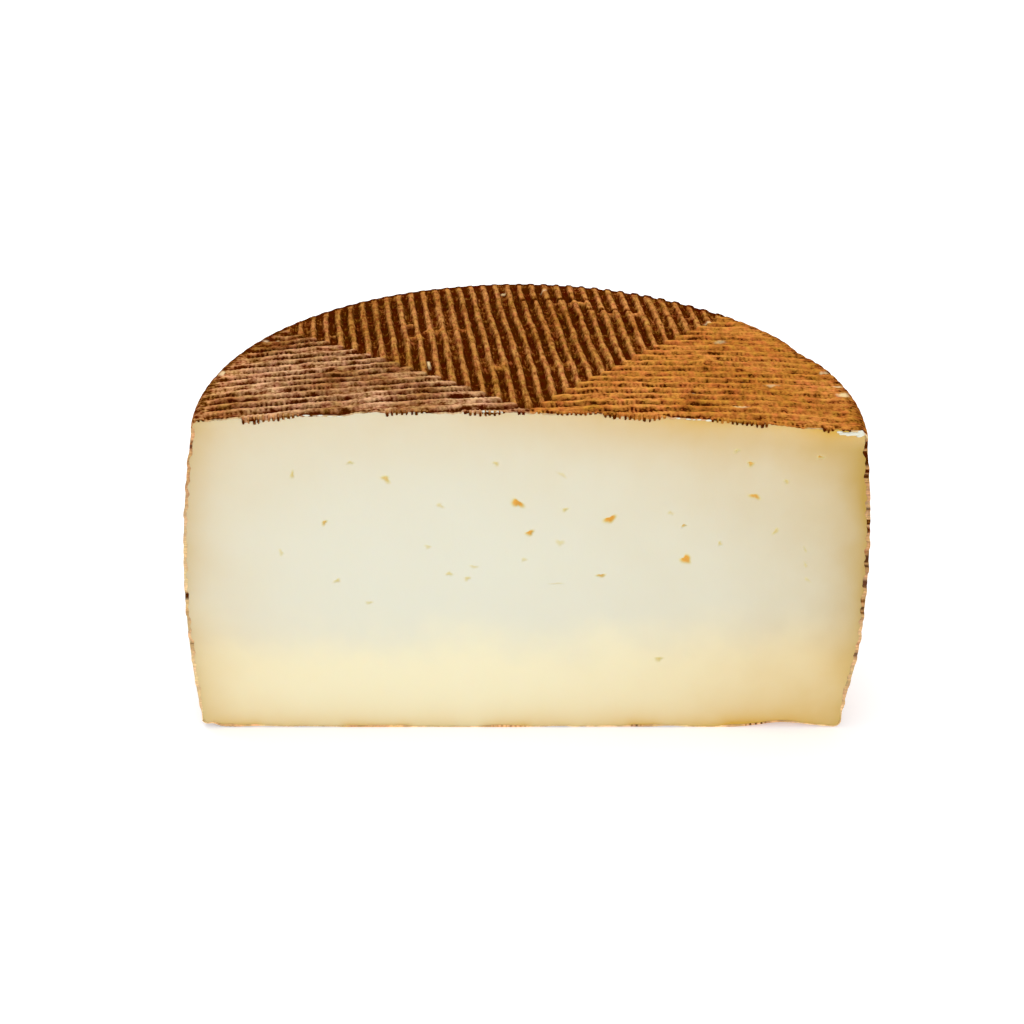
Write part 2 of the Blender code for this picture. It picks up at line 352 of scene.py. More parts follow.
class Face:
    """One flat face: the disc inside its rim, and the round edge that leads from the rim to the side."""

    def __init__(self, form, name):
        wheel = form.wheel
        self.form = form
        self.name = name
        self.up = 1 if name == "top" else -1
        self.edge = wheel.shoulder if name == "top" else wheel.foot
        self.rim_height = wheel.height - wheel.crown if name == "top" else 0
        self.radius = barrel_radius(form, self.rim_height - self.up * self.edge) - self.edge

    def height(self, x, y):
        """The top's dome, a tilted paraboloid, or the flat base."""
        wheel = self.form.wheel
        if self.name == "base":
            return np.zeros_like(x)
        return wheel.height - wheel.top_tilt * x - wheel.crown * (x**2 + y**2) / self.radius**2

    def share(self, x, y):
        """The share of the way round the wheel at which a point of the rim lies."""
        first = first_angle(self.form, self.radius)
        tiny = 1e-9
        angle = np.mod(np.arctan2(y, x) - first + tiny, 2 * np.pi) - tiny
        return np.clip(angle / (np.pi - 2 * first), 0, 1)

    def join_height(self, share):
        """The height at which the round edge meets the side."""
        if self.name == "base":
            return np.full_like(share, self.edge)
        angle = angle_at(self.form, share, self.radius)
        return self.height(self.radius * np.cos(angle), self.radius * np.sin(angle)) - self.edge

    def place(self, x, y, height):
        """A place of the face in the part's own frame."""
        part_x = x + axis_x(self.form, self.rim_height)
        part_y = y + CUT_Y + self.form.wheel.axis_behind_cut
        return np.stack([part_x, part_y, height], -1)


# The mould's pattern


def to_pattern(form, x, y):
    """A face's place in the pattern's own coordinates, turned by the yaw about the apex."""
    ridges = form.ridges
    dx = x - ridges.apex_x
    dy = y + form.wheel.axis_behind_cut - ridges.apex_behind_cut
    u = dx * np.cos(ridges.yaw) + dy * np.sin(ridges.yaw)
    v = dy * np.cos(ridges.yaw) - dx * np.sin(ridges.yaw)
    return u, v


def from_pattern(form, u, v):
    """The pattern's coordinates as a place on the face."""
    ridges = form.ridges
    apex_y = ridges.apex_behind_cut - form.wheel.axis_behind_cut
    x = ridges.apex_x + u * np.cos(ridges.yaw) - v * np.sin(ridges.yaw)
    y = apex_y + u * np.sin(ridges.yaw) + v * np.cos(ridges.yaw)
    return np.stack(np.broadcast_arrays(x, y), -1)


def reach_to_rim(starts, headings, radius):
    """How far a straight line runs from its start to the rim's circle."""
    along = np.sum(starts * headings, axis=-1)
    inside = along**2 - np.sum(starts**2, axis=-1) + radius**2
    return np.sqrt(np.maximum(inside, 0)) - along


def ridge_distances(form, first, last):
    """Distances across the ridges at which the grid has rows, close together on the flanks."""
    pitch = form.ridges.pitch
    whole = pitch * np.arange(np.floor(first / pitch), np.ceil(last / pitch) + 1)
    rows = (whole[:, None] + pitch * RIDGE_SAMPLES).ravel()
    near = NEAR_ROW * pitch
    rows = rows[(rows > first + near) & (rows < last - near)]
    return np.concatenate([[first], rows, [last]])


def corner_reach(form, side, radius):
    """The distance at which a corner line between two sectors meets the rim."""
    apex = from_pattern(form, 0, 0)
    heading = from_pattern(form, side, 1) - apex
    unit = heading / np.hypot(*heading)
    return reach_to_rim(apex, unit, radius) / np.sqrt(2)


def back_rows(form, side, radius):
    """The rows of half the back sector: they follow its ridges from the corner line back to the rim."""
    distance = ridge_distances(form, 0.0, corner_reach(form, side, radius))
    starts = from_pattern(form, side * distance, distance)
    headings = np.broadcast_to(from_pattern(form, 0, 1) - from_pattern(form, 0, 0), starts.shape)
    return starts, headings


def flank_rows(form, side, radius):
    """The rows of the left or right sector, as lines v = rise + slope * u of the pattern.

    The first row is the cut. The next ones turn step by step until they follow the ridges, which the rest do.
    Each starts on the sector's corner line, or in front of the apex on the line u = 0.
    """
    ridges = form.ridges
    cut_rise = -ridges.apex_behind_cut / np.cos(ridges.yaw)
    cut_slope = -np.tan(ridges.yaw)
    level = CUT_ROWS_PITCHES[side] * ridges.pitch
    turned = np.unique(np.append(np.linspace(0, 1, CUT_ROWS), cut_rise / (cut_rise - level)))
    straight = ridge_distances(form, level, corner_reach(form, side, radius))[1:]
    rise = np.concatenate([cut_rise + (level - cut_rise) * turned, straight])
    slope = np.concatenate([cut_slope * (1 - turned), np.zeros(len(straight))])
    u = np.where(rise > 0, side * rise / (1 - side * slope), 0)
    starts = from_pattern(form, u, rise + slope * u)
    headings = side * (from_pattern(form, 1, slope) - from_pattern(form, 0, 0))
    return starts, headings / np.linalg.norm(headings, axis=-1, keepdims=True)


# The rind's relief

# The distance from a corner line over which the sectors' own relief comes in, and that for their own depth
CORNER_FADE = 1.6 * MM
DEPTH_FADE = 7.0 * MM
# The distance from the rim over which the grooves run out, to which shares of their depth, and where along u
# the share changes from one to the other
RIM_FADE = 6.0 * MM
RIM_DEPTH = (0.12, 0.38)
RIM_DEPTH_ZONE = (-10 * MM, 50 * MM)
# The border at the rim: how far in it reaches, and what it takes from the grooves' dark
RIM_BORDER = (0.2 * MM, 1.5 * MM)
BORDER_SHARE = 0.7
# Where along u the right part is worn, and what that takes from the depth and from the dark
RIGHT_WEAR = (30.0 * MM, 92.0 * MM)
WORN_DEPTH = 0.35
WORN_DARK = 0.45
# Two ridges read the grain this far apart. A twist's phase grows by this step with the square of its groove's
# number, and its size is this share of the whole wave on average
RIDGE_STRIDE = 37 * MM
PHASE_STEP = 2.4
TWIST_SIZE = 0.7
# Where a twist stands out from its flank, from a share of the crest's half width to so far outside it, and
# how far outside it the gaps between twists are dark
TWIST_START = (0.6, 0.2 * MM)
OFF_CREST = 0.35 * MM
# Where in the grain a groove begins to fill and is filled, and how much of its depth is gone where it is
# filled, closed by a twist or bridged
FILLED_IN = (0.0, 0.55)
FILLING = 0.85
CLOSING = 0.4
BRIDGING = 0.8
# Where in the grain a bridge begins and is whole, how the grain is drawn out along the grooves for this, and
# a bridge's mean strength
BRIDGE_RANGE = (-0.5, 0.2)
BRIDGE_STRETCH = np.array([0.2, 1, 1])
BRIDGE_HEIGHT = 0.8
# How far a step drops, and how dark the step, the gaps between the twists and the darkest place are
STEP_DROP = 0.45 * MM
STEP_DARK = 0.9
GAP_DARK = 0.5
GAP_FILLING = 0.6
DARKEST = 1.2

Sector = namedtuple("Sector", "depth width dark pinch fill border")
SECTORS = {
    # The depth's name, a crest's width against the mould's, how dark the grooves are, partly their own colour
    # and partly painted shade, darkest at the back where the grooves are seen along their length, how far the
    # twists close them, how far they are filled in places, and how dark the border at the rim is
    "back": Sector("back_depth", 0.8, 1.0, 0.25, 0.25, 0.8),
    "left": Sector("left_depth", 0.8, 0.85, 0.45, 0.65, 0.55),
    "right": Sector("right_depth", 1.0, 0.5, 0.7, 0.6, 0.4),
}
BRIDGES = (
    # Across the back sector's grooves: how far behind the apex, from where to where, and half width, in mm
    (56.3, -38.5, -27.0, 1.3),
    (61.3, -27.0, -8.0, 2.3),
    (31.4, -8.0, 22.0, 3.3),
    (83.2, 17.0, 30.0, 1.3),
    (73.6, 28.0, 49.0, 1.9),
    (63.5, -62.0, -54.0, 0.7),
    (68.5, -33.0, -29.0, 0.6),
)
STEPS = (
    # Dark lines that cross the back sector, given in the same way
    (86.2, 7.0, 30.0, 1.2),
    (76.6, 28.0, 42.0, 1.2),
    (52.0, 52.0, 60.0, 1.8),
)
CROSSING_END = 1.0
BELL_POWER = 4


def crossing(lines, u, v):
    """How much a place lies on one of the lines that cross the ridges: a flat bell with eased ends."""
    share = np.zeros_like(u)
    for behind, first, last, half_width in lines:
        within = stretches(u / MM, [(first, last, 1.0)], CROSSING_END, CROSSING_END)
        share = np.maximum(share, within * np.exp(-(((v / MM - behind) / half_width) ** BELL_POWER)))
    return share


def sector_name(sector, side):
    """The name under which a sector's looks are listed."""
    return sector if sector == "back" else {-1: "left", 1: "right"}[side]


def ridge_relief(form, face, sector, side, u, v, rim_distance):
    """A sector's fall under its crests, how dark a place is, the share of a bridge, and along and across.

    The share of the way down is an eased step of the distance from the nearest crest, whose width varies
    along each ridge. On the flanks a wave along the groove moves the step in and out, as the plait's twists
    did, and closes the groove in part. All of this fades out at the corner lines, where two sectors agree.
    """
    ridges = form.ridges
    part = sector_name(sector, side)
    look = SECTORS[part]
    seed = RIDGE_SEEDS[face.name] + SECTOR_SEEDS[part]
    across, along = (u, v) if sector == "back" else (v, side * u)
    from_corner = np.where(v > 0, np.abs(np.abs(u) - v) / np.sqrt(2), np.abs(u))
    own = blend(0, CORNER_FADE, from_corner)
    ridge = np.round(across / ridges.pitch)
    groove = np.floor(across / ridges.pitch)
    on_ridge = np.stack([along, ridge * RIDGE_STRIDE, 0 * along], -1)
    in_groove = np.stack([along, groove * RIDGE_STRIDE, 0 * along], -1)

    from_crest = np.abs(across - ridges.pitch * ridge)
    half = ridges.crest / 2 * (1 + own * (look.width - 1 + grain("crest width", on_ridge, seed)))
    drift = grain("twist drift", in_groove, seed) + grain("twist jitter", in_groove, seed)
    wave = np.sin(2 * np.pi * along / ridges.bead_pitch + PHASE_STEP * groove**2 + drift)
    bead = (0.5 + 0.5 * wave) * own * (TWIST_SIZE + grain("twist size", in_groove, seed))
    stand_out = ridges.bead * bead * blend(TWIST_START[0] * half, half + TWIST_START[1], from_crest)
    share = blend(half, half + ridges.flank, from_crest - stand_out)
    off_crest = blend(half, half + OFF_CREST, from_crest)
    filled = look.fill * own * blend(*FILLED_IN, grain("groove filling", in_groove, seed))
    share = share * (1 - FILLING * filled) * (1 - CLOSING * look.pinch * bead)

    worn = blend(*RIGHT_WEAR, u)
    depth = getattr(ridges, look.depth if face.name == "top" else "corner_depth")
    depth = ridges.corner_depth + (depth - ridges.corner_depth) * blend(0, DEPTH_FADE, from_corner)
    kept = RIM_DEPTH[0] + (RIM_DEPTH[1] - RIM_DEPTH[0]) * blend(*RIM_DEPTH_ZONE, u)
    depth = depth * (kept + (1 - kept) * blend(0, RIM_FADE, rim_distance)) * (1 - WORN_DEPTH * worn)

    bridge = np.zeros_like(u)
    step = np.zeros_like(u)
    places = flat(u, v)
    if (face.name, sector) == ("top", "back"):
        there = blend(*BRIDGE_RANGE, grain("bridge places", in_groove * BRIDGE_STRETCH))
        bridge = crossing(BRIDGES, u, v) * own * there * (BRIDGE_HEIGHT + grain("bridge lumps", places))
        step = crossing(STEPS, u, v) * own
    share = share * (1 - BRIDGING * bridge)
    uneven = share * grain("groove lumps", places) + (1 - share) * grain("crest lumps", places)
    fall = depth * share + uneven * own * blend(0, 2 * MM, rim_distance) + STEP_DROP * step

    gap = np.clip(1 - bead, 0, 1) ** 2 * off_crest * own
    gap = gap * (1 - GAP_FILLING * filled) * (1 - BRIDGING * bridge)
    # painted shade: grooves and gaps between twists darken partly by own colour, partly as painted shade
    dark = (look.dark * share + GAP_DARK * look.pinch * gap) * (1 - WORN_DARK * worn) + STEP_DARK * step
    border = 1 - blend(*RIM_BORDER, rim_distance)
    dark = dark * (1 - BORDER_SHARE * border) + look.border * border
    return fall, np.clip(dark, 0, DARKEST), bridge, along, across


# The distances from the rim and from the cut over which the wander and the lumps come in
FROM_RIM = 6 * MM
FROM_CUT = 5 * MM
LUMPS_FROM_RIM = 5 * MM


def wandered(form, face, x, y, rim_distance):
    """The grid's places moved a little in the plane, so that the ridges aren't quite straight.

    The move is a coarse and a fine grain. It fades out at the rim, and its part along y also at the cut.
    """
    places = flat(x, y)
    fade = blend(0, FROM_RIM, rim_distance)
    off_cut = blend(0, FROM_CUT, y + form.wheel.axis_behind_cut)
    move = [
        grain("wander", places, WANDER_SEEDS[face.name] + way)
        + grain("small wander", places, WANDER_SEEDS[face.name] + way)
        for way in range(2)
    ]
    return x + fade * move[0], y + fade * off_cut * move[1]


def swelled(form, face, x, y):
    """How far a face's place moves out with its rim: the rim's swelling, less with the cube of the radius."""
    out = swelling(face.share(x, y), face.rim_height) * (np.hypot(x, y) / face.radius) ** 3 / face.radius
    return out * x, out * y * blend(0, FROM_CUT, y + form.wheel.axis_behind_cut)


def lumps(face, x, y, rim_distance):
    """How far the whole face rises and falls: two grains that fade out at the rim."""
    places, seed = flat(x, y), LUMP_SEEDS[face.name]
    rise = grain("lumps", places, seed) + grain("small lumps", places, seed)
    return rise * blend(0, LUMPS_FROM_RIM, rim_distance)


# The top's edge at the cut

CUT_FRINGES = (
    # Where a ridge hangs over the cut: from x to x, how far at either end, in mm, and how dark
    (-97.4, -93.6, 0.9, 0.5, 0.9),
    (-83.0, -65.5, 2.5, 1.6, 0.95),
    (-41.0, -27.8, 1.9, 1.2, 1.0),
    (-18.0, -5.1, 1.3, 2.0, 0.9),
    (-2.3, 0.4, 1.5, 1.4, 1.3),
    (3.4, 5.2, 0.9, 0.9, 1.2),
    (9.0, 21.4, 1.0, 1.1, 0.75),
    (22.9, 41.8, 1.9, 2.2, 0.75),
    (54.5, 73.4, 1.0, 2.2, 0.8),
    (87.6, 91.4, 1.5, 1.6, 1.0),
    (92.9, 96.4, 0.8, 0.7, 1.4),
)
# A fringe's ends, in mm: its start comes in from so far outside to so far inside it. Towards its end it
# tapers over a share of its length, at most the longest taper, and the power keeps the taper full for longer
FRINGE_START = (0.2, 0.3)
FRINGE_PAST = 0.3
TAPER_SHARE = 0.4
LONGEST_TAPER = 4.0
TAPER_POWER = 0.7
# How far the edge lies under the crests on a flank, which keeps a share of the relief, and on a crest, which
# takes a share of the raggedness
FLANK_FALL = 0.62 * MM
FLANK_RELIEF = 0.3
CREST_FALL = 0.4 * MM
CREST_RAGGED = 0.5


def fringe(x):
    """At an x of the cut: how far the rind hangs over it, the share of a fringe, and how dark that is."""
    hang, share, dark = np.zeros((3, *x.shape))
    for first, last, hang_first, hang_last, darkness in CUT_FRINGES:
        at = np.clip((x / MM - first) / (last - first), 0, 1)
        taper = min(LONGEST_TAPER, TAPER_SHARE * (last - first))
        begun = blend(first - FRINGE_START[0], first + FRINGE_START[1], x / MM)
        within = begun * (1 - blend(last - taper, last + FRINGE_PAST, x / MM)) ** TAPER_POWER
        hang = np.maximum(hang, within * (hang_first + (hang_last - hang_first) * at) * MM)
        dark = np.where(within > share, darkness, dark)
        share = np.maximum(share, within)
    return hang, share, dark


def edge_fall(x, natural):
    """How far the top's edge at the cut lies under the crests.

    In a fringe a crest reaches the edge. Between fringes the knife dragged paste up the last flank, which
    fills the groove in part.
    """
    within = fringe(x)[1]
    ragged = grain("ragged edge", in_line(x)) + grain("finely ragged edge", in_line(x))
    flank = FLANK_FALL + FLANK_RELIEF * natural + ragged
    crest = CREST_FALL + CREST_RAGGED * ragged
    return crest * within + flank * (1 - within)


# Behind the cut: where the edge's own fall gives way to the relief and where the burr ends. Then where in the
# grain a burr begins and is whole
EDGE_ZONE = (0.15 * MM, 2.4 * MM)
BURR_ZONE = (0.02 * MM, 0.3 * MM)
BURR_RANGE = (-0.1, 0.4)
# What the edge takes from the dark, on a flank and in a fringe
FLANK_PALE = 0.35
FRINGE_PALE = 0.8
# The dark line under the last crest: where it comes in and goes out behind the cut, and how dark it is, at a
# twist and between two
LINE_STARTS = (0.1 * MM, 0.45 * MM)
LINE_ENDS = (1.5 * MM, 0.8 * MM)
LINE_DARK = 0.25
LINE_BETWEEN = 0.55


def at_top_edge(form, x, behind, fall, down):
    """The top's fall and dark near the cut, and the burr of paste that the knife left there in places."""
    near_cut = 1 - blend(*EDGE_ZONE, behind)
    within = fringe(x)[1]
    fall = fall + (edge_fall(x, fall) - fall) * near_cut
    down = down * (1 - near_cut * (FLANK_PALE * (1 - within) + FRINGE_PALE * within))
    in_places = blend(*BURR_RANGE, grain("burr places", in_line(x)))
    burr = (1 - blend(*BURR_ZONE, behind)) * (1 - within) * in_places
    line = blend(*LINE_STARTS, behind) * blend(*LINE_ENDS, behind) * (1 - within)
    down = down + line * (LINE_DARK + LINE_BETWEEN * (1 - twists(form, x)))
    return fall, down, burr


# Where in the wave a twist begins and is whole, the same for how clear it is, and how clear the faintest is
TOOTH_RANGE = (-0.5, 0.6)
CLEAR_RANGE = (-0.5, 0.4)
LEAST_CLEAR = 0.55


def twists(form, x):
    """How far a place of the cut edge stands out as one of the twists that show under the last crest.

    A wave with an uneven phase gives the twists, and the grain makes some of them clearer than others.
    """
    line = in_line(x)
    phase = grain("bead drift", line) + grain("bead jitter", line)
    tooth = blend(*TOOTH_RANGE, np.sin(2 * np.pi * x / form.ridges.bead_pitch + phase))
    clear = LEAST_CLEAR + (1 - LEAST_CLEAR) * blend(*CLEAR_RANGE, grain("clear beads", line))
    return 1 - clear * (1 - tooth)


# The base's edge at the cut

BASE_LIFTS = (
    # Where the edge is worn up from the floor: x, half width and height in mm
    (-99.5, 2.6, 1.5),
    (-82.0, 8.0, 0.5),
    (46.0, 6.0, 0.55),
    (84.0, 10.0, 1.9),
)
LIFT_ZONE = 9.0 * MM
# The share of the relief that is left at the cut, and where behind it the rest comes in
BASE_EDGE_RELIEF = 0.12
BASE_EDGE_ZONE = (0.2 * MM, 6 * MM)
# Where its line is golden, and where it has dark dots: from x to x in mm, and how much. The ends of these
# stretches begin outside them by the first distance and are done inside them by the second
BASE_GOLD = ((-99.0, -84.0, 1), (-57.5, -36.5, 1), (-13.0, 1.5, 1), (34.0, 43.0, 1), (65.0, 85.5, 1))
GOLD_ENDS = (3, 2)
BASE_DOTS = ((-11.0, 1.5, 0.45), (33.5, 38.5, 0.7), (70.0, 78.0, 1.0))
DOT_ENDS = (0, 1)


def base_lift(x):
    """How far the worn edge of the base stands above the floor: a bell for each lift."""
    return sum(height * MM * np.exp(-(((x / MM - at) / half) ** 2)) for at, half, height in BASE_LIFTS)


def base_gold(x):
    """How golden the base's edge is at an x of the cut."""
    return stretches(x / MM, BASE_GOLD, *GOLD_ENDS)


def at_base_edge(x, behind, fall):
    """The base's fall near the cut, where its relief is pressed flat and its edge is worn up from below."""
    fall = fall * (BASE_EDGE_RELIEF + (1 - BASE_EDGE_RELIEF) * blend(*BASE_EDGE_ZONE, behind))
    return fall + base_lift(x) * (1 - blend(0, LIFT_ZONE, behind))


# Closed solids from grids


def quads(grid):
    """The triangles of a grid of point numbers, two for each of its cells."""
    a, b, c, d = grid[:-1, :-1], grid[:-1, 1:], grid[1:, 1:], grid[1:, :-1]
    return np.concatenate([np.stack([a, b, c], -1).reshape(-1, 3), np.stack([a, c, d], -1).reshape(-1, 3)])


def fan(row):
    """The triangles from the first point of a row to the pairs of the others."""
    return np.stack([np.full(len(row) - 2, row[0]), row[1:-1], row[2:]], -1)


def rim_of(grid):
    """The numbers round a grid's edge: first row, last column, last row backwards, first column upwards."""
    return np.concatenate([grid[0, :-1], grid[:-1, -1], grid[-1, :0:-1], grid[:0:-1, 0]])


def closed_solid(surface, rings):
    """The points and triangles of a solid: a grid, rings of points that lead on from its edge, and a lid.

    The lid on the last ring is ruled between the two ends of every grid row, with a fan at the first and at
    the last row. The welding later turns all faces outwards, by the sign of the solid's volume.
    """
    rows, columns = surface.shape[:2]
    grid = np.arange(rows * columns).reshape(rows, columns)
    edge = rim_of(grid)
    ring_grid = grid.size + np.arange(rings.shape[0] * len(edge)).reshape(rings.shape[0], len(edge))
    wall = np.vstack([edge, ring_grid])
    last = ring_grid[-1]
    first_row = last[:columns]
    last_column = last[columns - 1 : columns + rows - 1]
    last_row = last[columns + rows - 2 : 2 * columns + rows - 2]
    first_column = np.append(last[2 * columns + rows - 3 :], last[0])[::-1]
    triangles = np.concatenate(
        [
            quads(grid)[:, ::-1],
            quads(np.hstack([wall, wall[:, :1]])),
            quads(np.stack([last_column, first_column])),
            fan(first_row),
            fan(np.roll(last_row, 1)),
        ]
    )
    points = np.concatenate([surface.reshape(-1, 3), rings.reshape(-1, 3)])
    return points, triangles


MICRON = 0.001 * MM


def welded(points, triangles):
    """One point for each place, and the triangles that still have three corners, turned outwards."""
    places = np.round(points / MICRON)
    _, kept, number = np.unique(places, axis=0, return_index=True, return_inverse=True)
    triangles = number.ravel()[triangles]
    a, b, c = triangles.T
    triangles = triangles[(a != b) & (b != c) & (c != a)]
    corners = points[kept][triangles]
    volume = np.sum(corners[:, 0] * np.cross(corners[:, 1], corners[:, 2]))
    return kept, triangles if volume > 0 else triangles[:, ::-1]


def make_piece(name, surface, rings, masks, material, slot):
    """Puts a closed solid into the scene as one smooth mesh that rides on the frame.

    Each mask is a number at every point of the grid and the rings, kept as an attribute for the material.
    """
    values = {mask: np.concatenate([part.ravel() for part in parts]) for mask, parts in masks.items()}
    return put_in(name, *closed_solid(surface, rings), values, material, slot)


def put_in(name, points, triangles, masks, material, slot):
    """Welds a piece's points, and puts it into the scene with its masks as attributes."""
    kept, triangles = welded(points, triangles)
    mesh = bpy.data.meshes.new(name)
    mesh.from_pydata(points[kept], [], triangles)
    for mask, values in masks.items():
        attribute = mesh.attributes.new(mask, "FLOAT", "POINT")
        attribute.data.foreach_set("value", values[kept])
    mesh.shade_smooth()
    mesh.materials.append(material)
    piece = bpy.data.objects.new(name, mesh)
    bpy.context.scene.collection.objects.link(piece)
    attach(piece, BODY)
    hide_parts(NODE)
    return piece


# The rind's crusts

# A crust's rings as shares of its section, how many rings follow behind that, how deep the deepest lies and
# how far the one before it steps back. Away from the cut the rings go down by the skirt
RING_SHARES = np.array([0.2, 0.45, 0.7, 1.0])
RINGS_BEHIND = 2
CRUST_DEPTH = 3.2 * MM
BEHIND_SECTION = 0.35 * MM
SKIRT = 1.0 * MM

Tone = namedtuple("Tone", "dust gold aged")
TONES = {
    # How dusty, with a painted sheen in that pale bloom, how golden and how dark with age a sector or the
    # side is
    "back": Tone(0.15, 0.2, 0.0),
    "left": Tone(0.9, 0.15, 0.2),
    "right": Tone(0.12, 0.8, 0.0),
    "band": Tone(0.4, 0.45, 0.0),
}
# Where the tones change, along X and behind the cut, and by how much: the left rim has less dusty bloom and
# painted sheen and more gold, the gold grows to the right, and the age, which grows backwards, takes both
# away
LEFT_RIM = (-76 * MM, -94 * MM)
LEFT_RIM_DUST_AND_SHEEN = 0.45
LEFT_RIM_GOLD = 0.35
RIGHTWARDS = (-30 * MM, 60 * MM)
RIGHT_GOLD = 0.22
AGED_ZONE = (22 * MM, 56 * MM)
AGED_DUST_AND_SHEEN = 2.2


def on_the_cut(points):
    """Which points lie in the plane of the cut."""
    return points[..., 1] < CUT_Y + MICRON


def crust_rings(surface, smooth, inward, section):
    """The rings that give a crust its thickness: four down its section, and one deep under the surface.

    Along the cut a ring between them steps back behind the section, so that only this shows beside the paste.
    """
    edge = rim_of(np.arange(surface.shape[0] * surface.shape[1]).reshape(surface.shape[:2]))
    at, under, inwards = (grid.reshape(-1, 3)[edge] for grid in (surface, smooth, inward))
    thickness = np.where(on_the_cut(at), section.ravel()[edge], SKIRT)
    rings = at + inwards * (thickness * RING_SHARES[:, None])[..., None]
    back = np.maximum(CUT_Y + BEHIND_SECTION - at[:, 1:2], 0) * [0, 1, 0]
    deep = under + inwards * CRUST_DEPTH
    return np.concatenate([rings, [rings[-1] + back, deep + back]]), edge


def ring_masks(masks, edge):
    """Masks for the rings, each ring like the edge that it hangs from."""
    rings = len(RING_SHARES) + RINGS_BEHIND
    return {name: [grid, np.tile(grid.ravel()[edge], (rings, 1))] for name, grid in masks.items()}


def paint_section(masks, surface, edge, **paints):
    """Gives masks their values on the section along the cut: on the rings, and on the grid's own edge."""
    at_cut = on_the_cut(surface).ravel()[edge]
    for name, paint in paints.items():
        grid, rings = masks[name]
        rings = np.where(at_cut, paint, rings)
        grid = grid.copy()
        grid.flat[edge[at_cut]] = rings[0][at_cut]
        masks[name] = [grid, rings]


def tones(part, x, y):
    """Dusty bloom with painted sheen, gold and age of the rind: a part's own share, and changes across it."""
    tone = TONES[part]
    left_rim = blend(*LEFT_RIM, x)
    aged = tone.aged * blend(*AGED_ZONE, y - CUT_Y)
    dust = tone.dust * (1 - LEFT_RIM_DUST_AND_SHEEN * left_rim) * (1 - AGED_DUST_AND_SHEEN * aged)
    gold = tone.gold + RIGHT_GOLD * blend(*RIGHTWARDS, x) + LEFT_RIM_GOLD * left_rim
    return dust, np.clip(gold, 0, 1), aged


FLECKS = (
    # Where paste shows through: u and v of the pattern, half length and half width in mm, and how clearly
    (-26.9, 36.6, 0.6, 2.9, 1.0),
    (2.2, 95.0, 0.8, 1.2, 0.6),
    (16.1, 95.0, 0.9, 1.0, 0.6),
    (65.1, 66.0, 1.8, 0.9, 0.5),
    (-90.3, 40.4, 0.8, 1.7, 0.8),
    (-76.9, 62.8, 1.4, 0.9, 0.8),
    (-72.5, 62.7, 1.3, 0.9, 0.8),
    (65.6, 48.5, 2.1, 0.9, 0.5),
    (66.1, 18.0, 1.7, 0.8, 0.5),
    (74.6, 15.8, 2.4, 0.7, 0.5),
    (94.7, 26.9, 2.7, 0.9, 0.75),
    (96.1, 11.4, 2.2, 1.1, 0.85),
    (95.3, 17.0, 1.6, 0.7, 0.7),
    (62.8, 0.6, 2.2, 0.7, 0.5),
    (49.7, 10.2, 1.9, 0.7, 0.45),
    (98.4, -10.6, 1.9, 2.6, 0.7),
)
FLECK_EDGE = (1.25, 0.4)
# How deep a fleck lies, and what it takes from the relief
FLECK_DEPTH = 0.25 * MM
FLECK_FLAT = 0.5


def fleck_share(u, v):
    """How much of the rind is missing at a place: ragged spots round the named flecks."""
    ragged = grain("ragged fleck", flat(u, v))
    share = np.zeros_like(u)
    for at_u, at_v, half_length, half_width, clear in FLECKS:
        near = np.hypot((u / MM - at_u) / half_length, (v / MM - at_v) / half_width)
        share = np.maximum(share, clear * blend(*FLECK_EDGE, near + ragged))
    return np.clip(share, 0, 1)


# Masks on a flat face and its round edge: how dark the side's start is, over which part of the turn a fleck
# fades, how golden a bridge is and how clear a burr
SIDE_START_DARK = 0.3
FLECK_TURN = (0.7, 0.1)
BRIDGE_GOLD = 0.7
BURR_CLEAR = 0.6


def round_edge(form, face, x, y, fall):
    """The round edge from the rim to the side: its relief, its smooth surface, its way inwards and its turns.

    It is a quarter turn round the radius of the edge, in which the relief runs out.
    """
    share = face.share(x, y)
    turn = np.linspace(0, np.pi / 2, EDGE_TURNS + 1)[1:]
    join = face.join_height(share)
    left = fall * np.cos(turn)
    out = face.radius + (barrel_radius(form, join) - face.radius) * np.sin(turn)
    low = join + face.up * (face.edge - left) * np.cos(turn)
    relief = around(form, share, out - left * np.sin(turn), low)
    smooth = around(form, share, out, join + face.up * face.edge * np.cos(turn))
    level = outwards(form, share, face.radius)
    upright = np.array([0, 0, face.up])
    inward = -(level * np.sin(turn)[..., None] + upright * np.cos(turn)[..., None])
    return relief, smooth, inward, turn


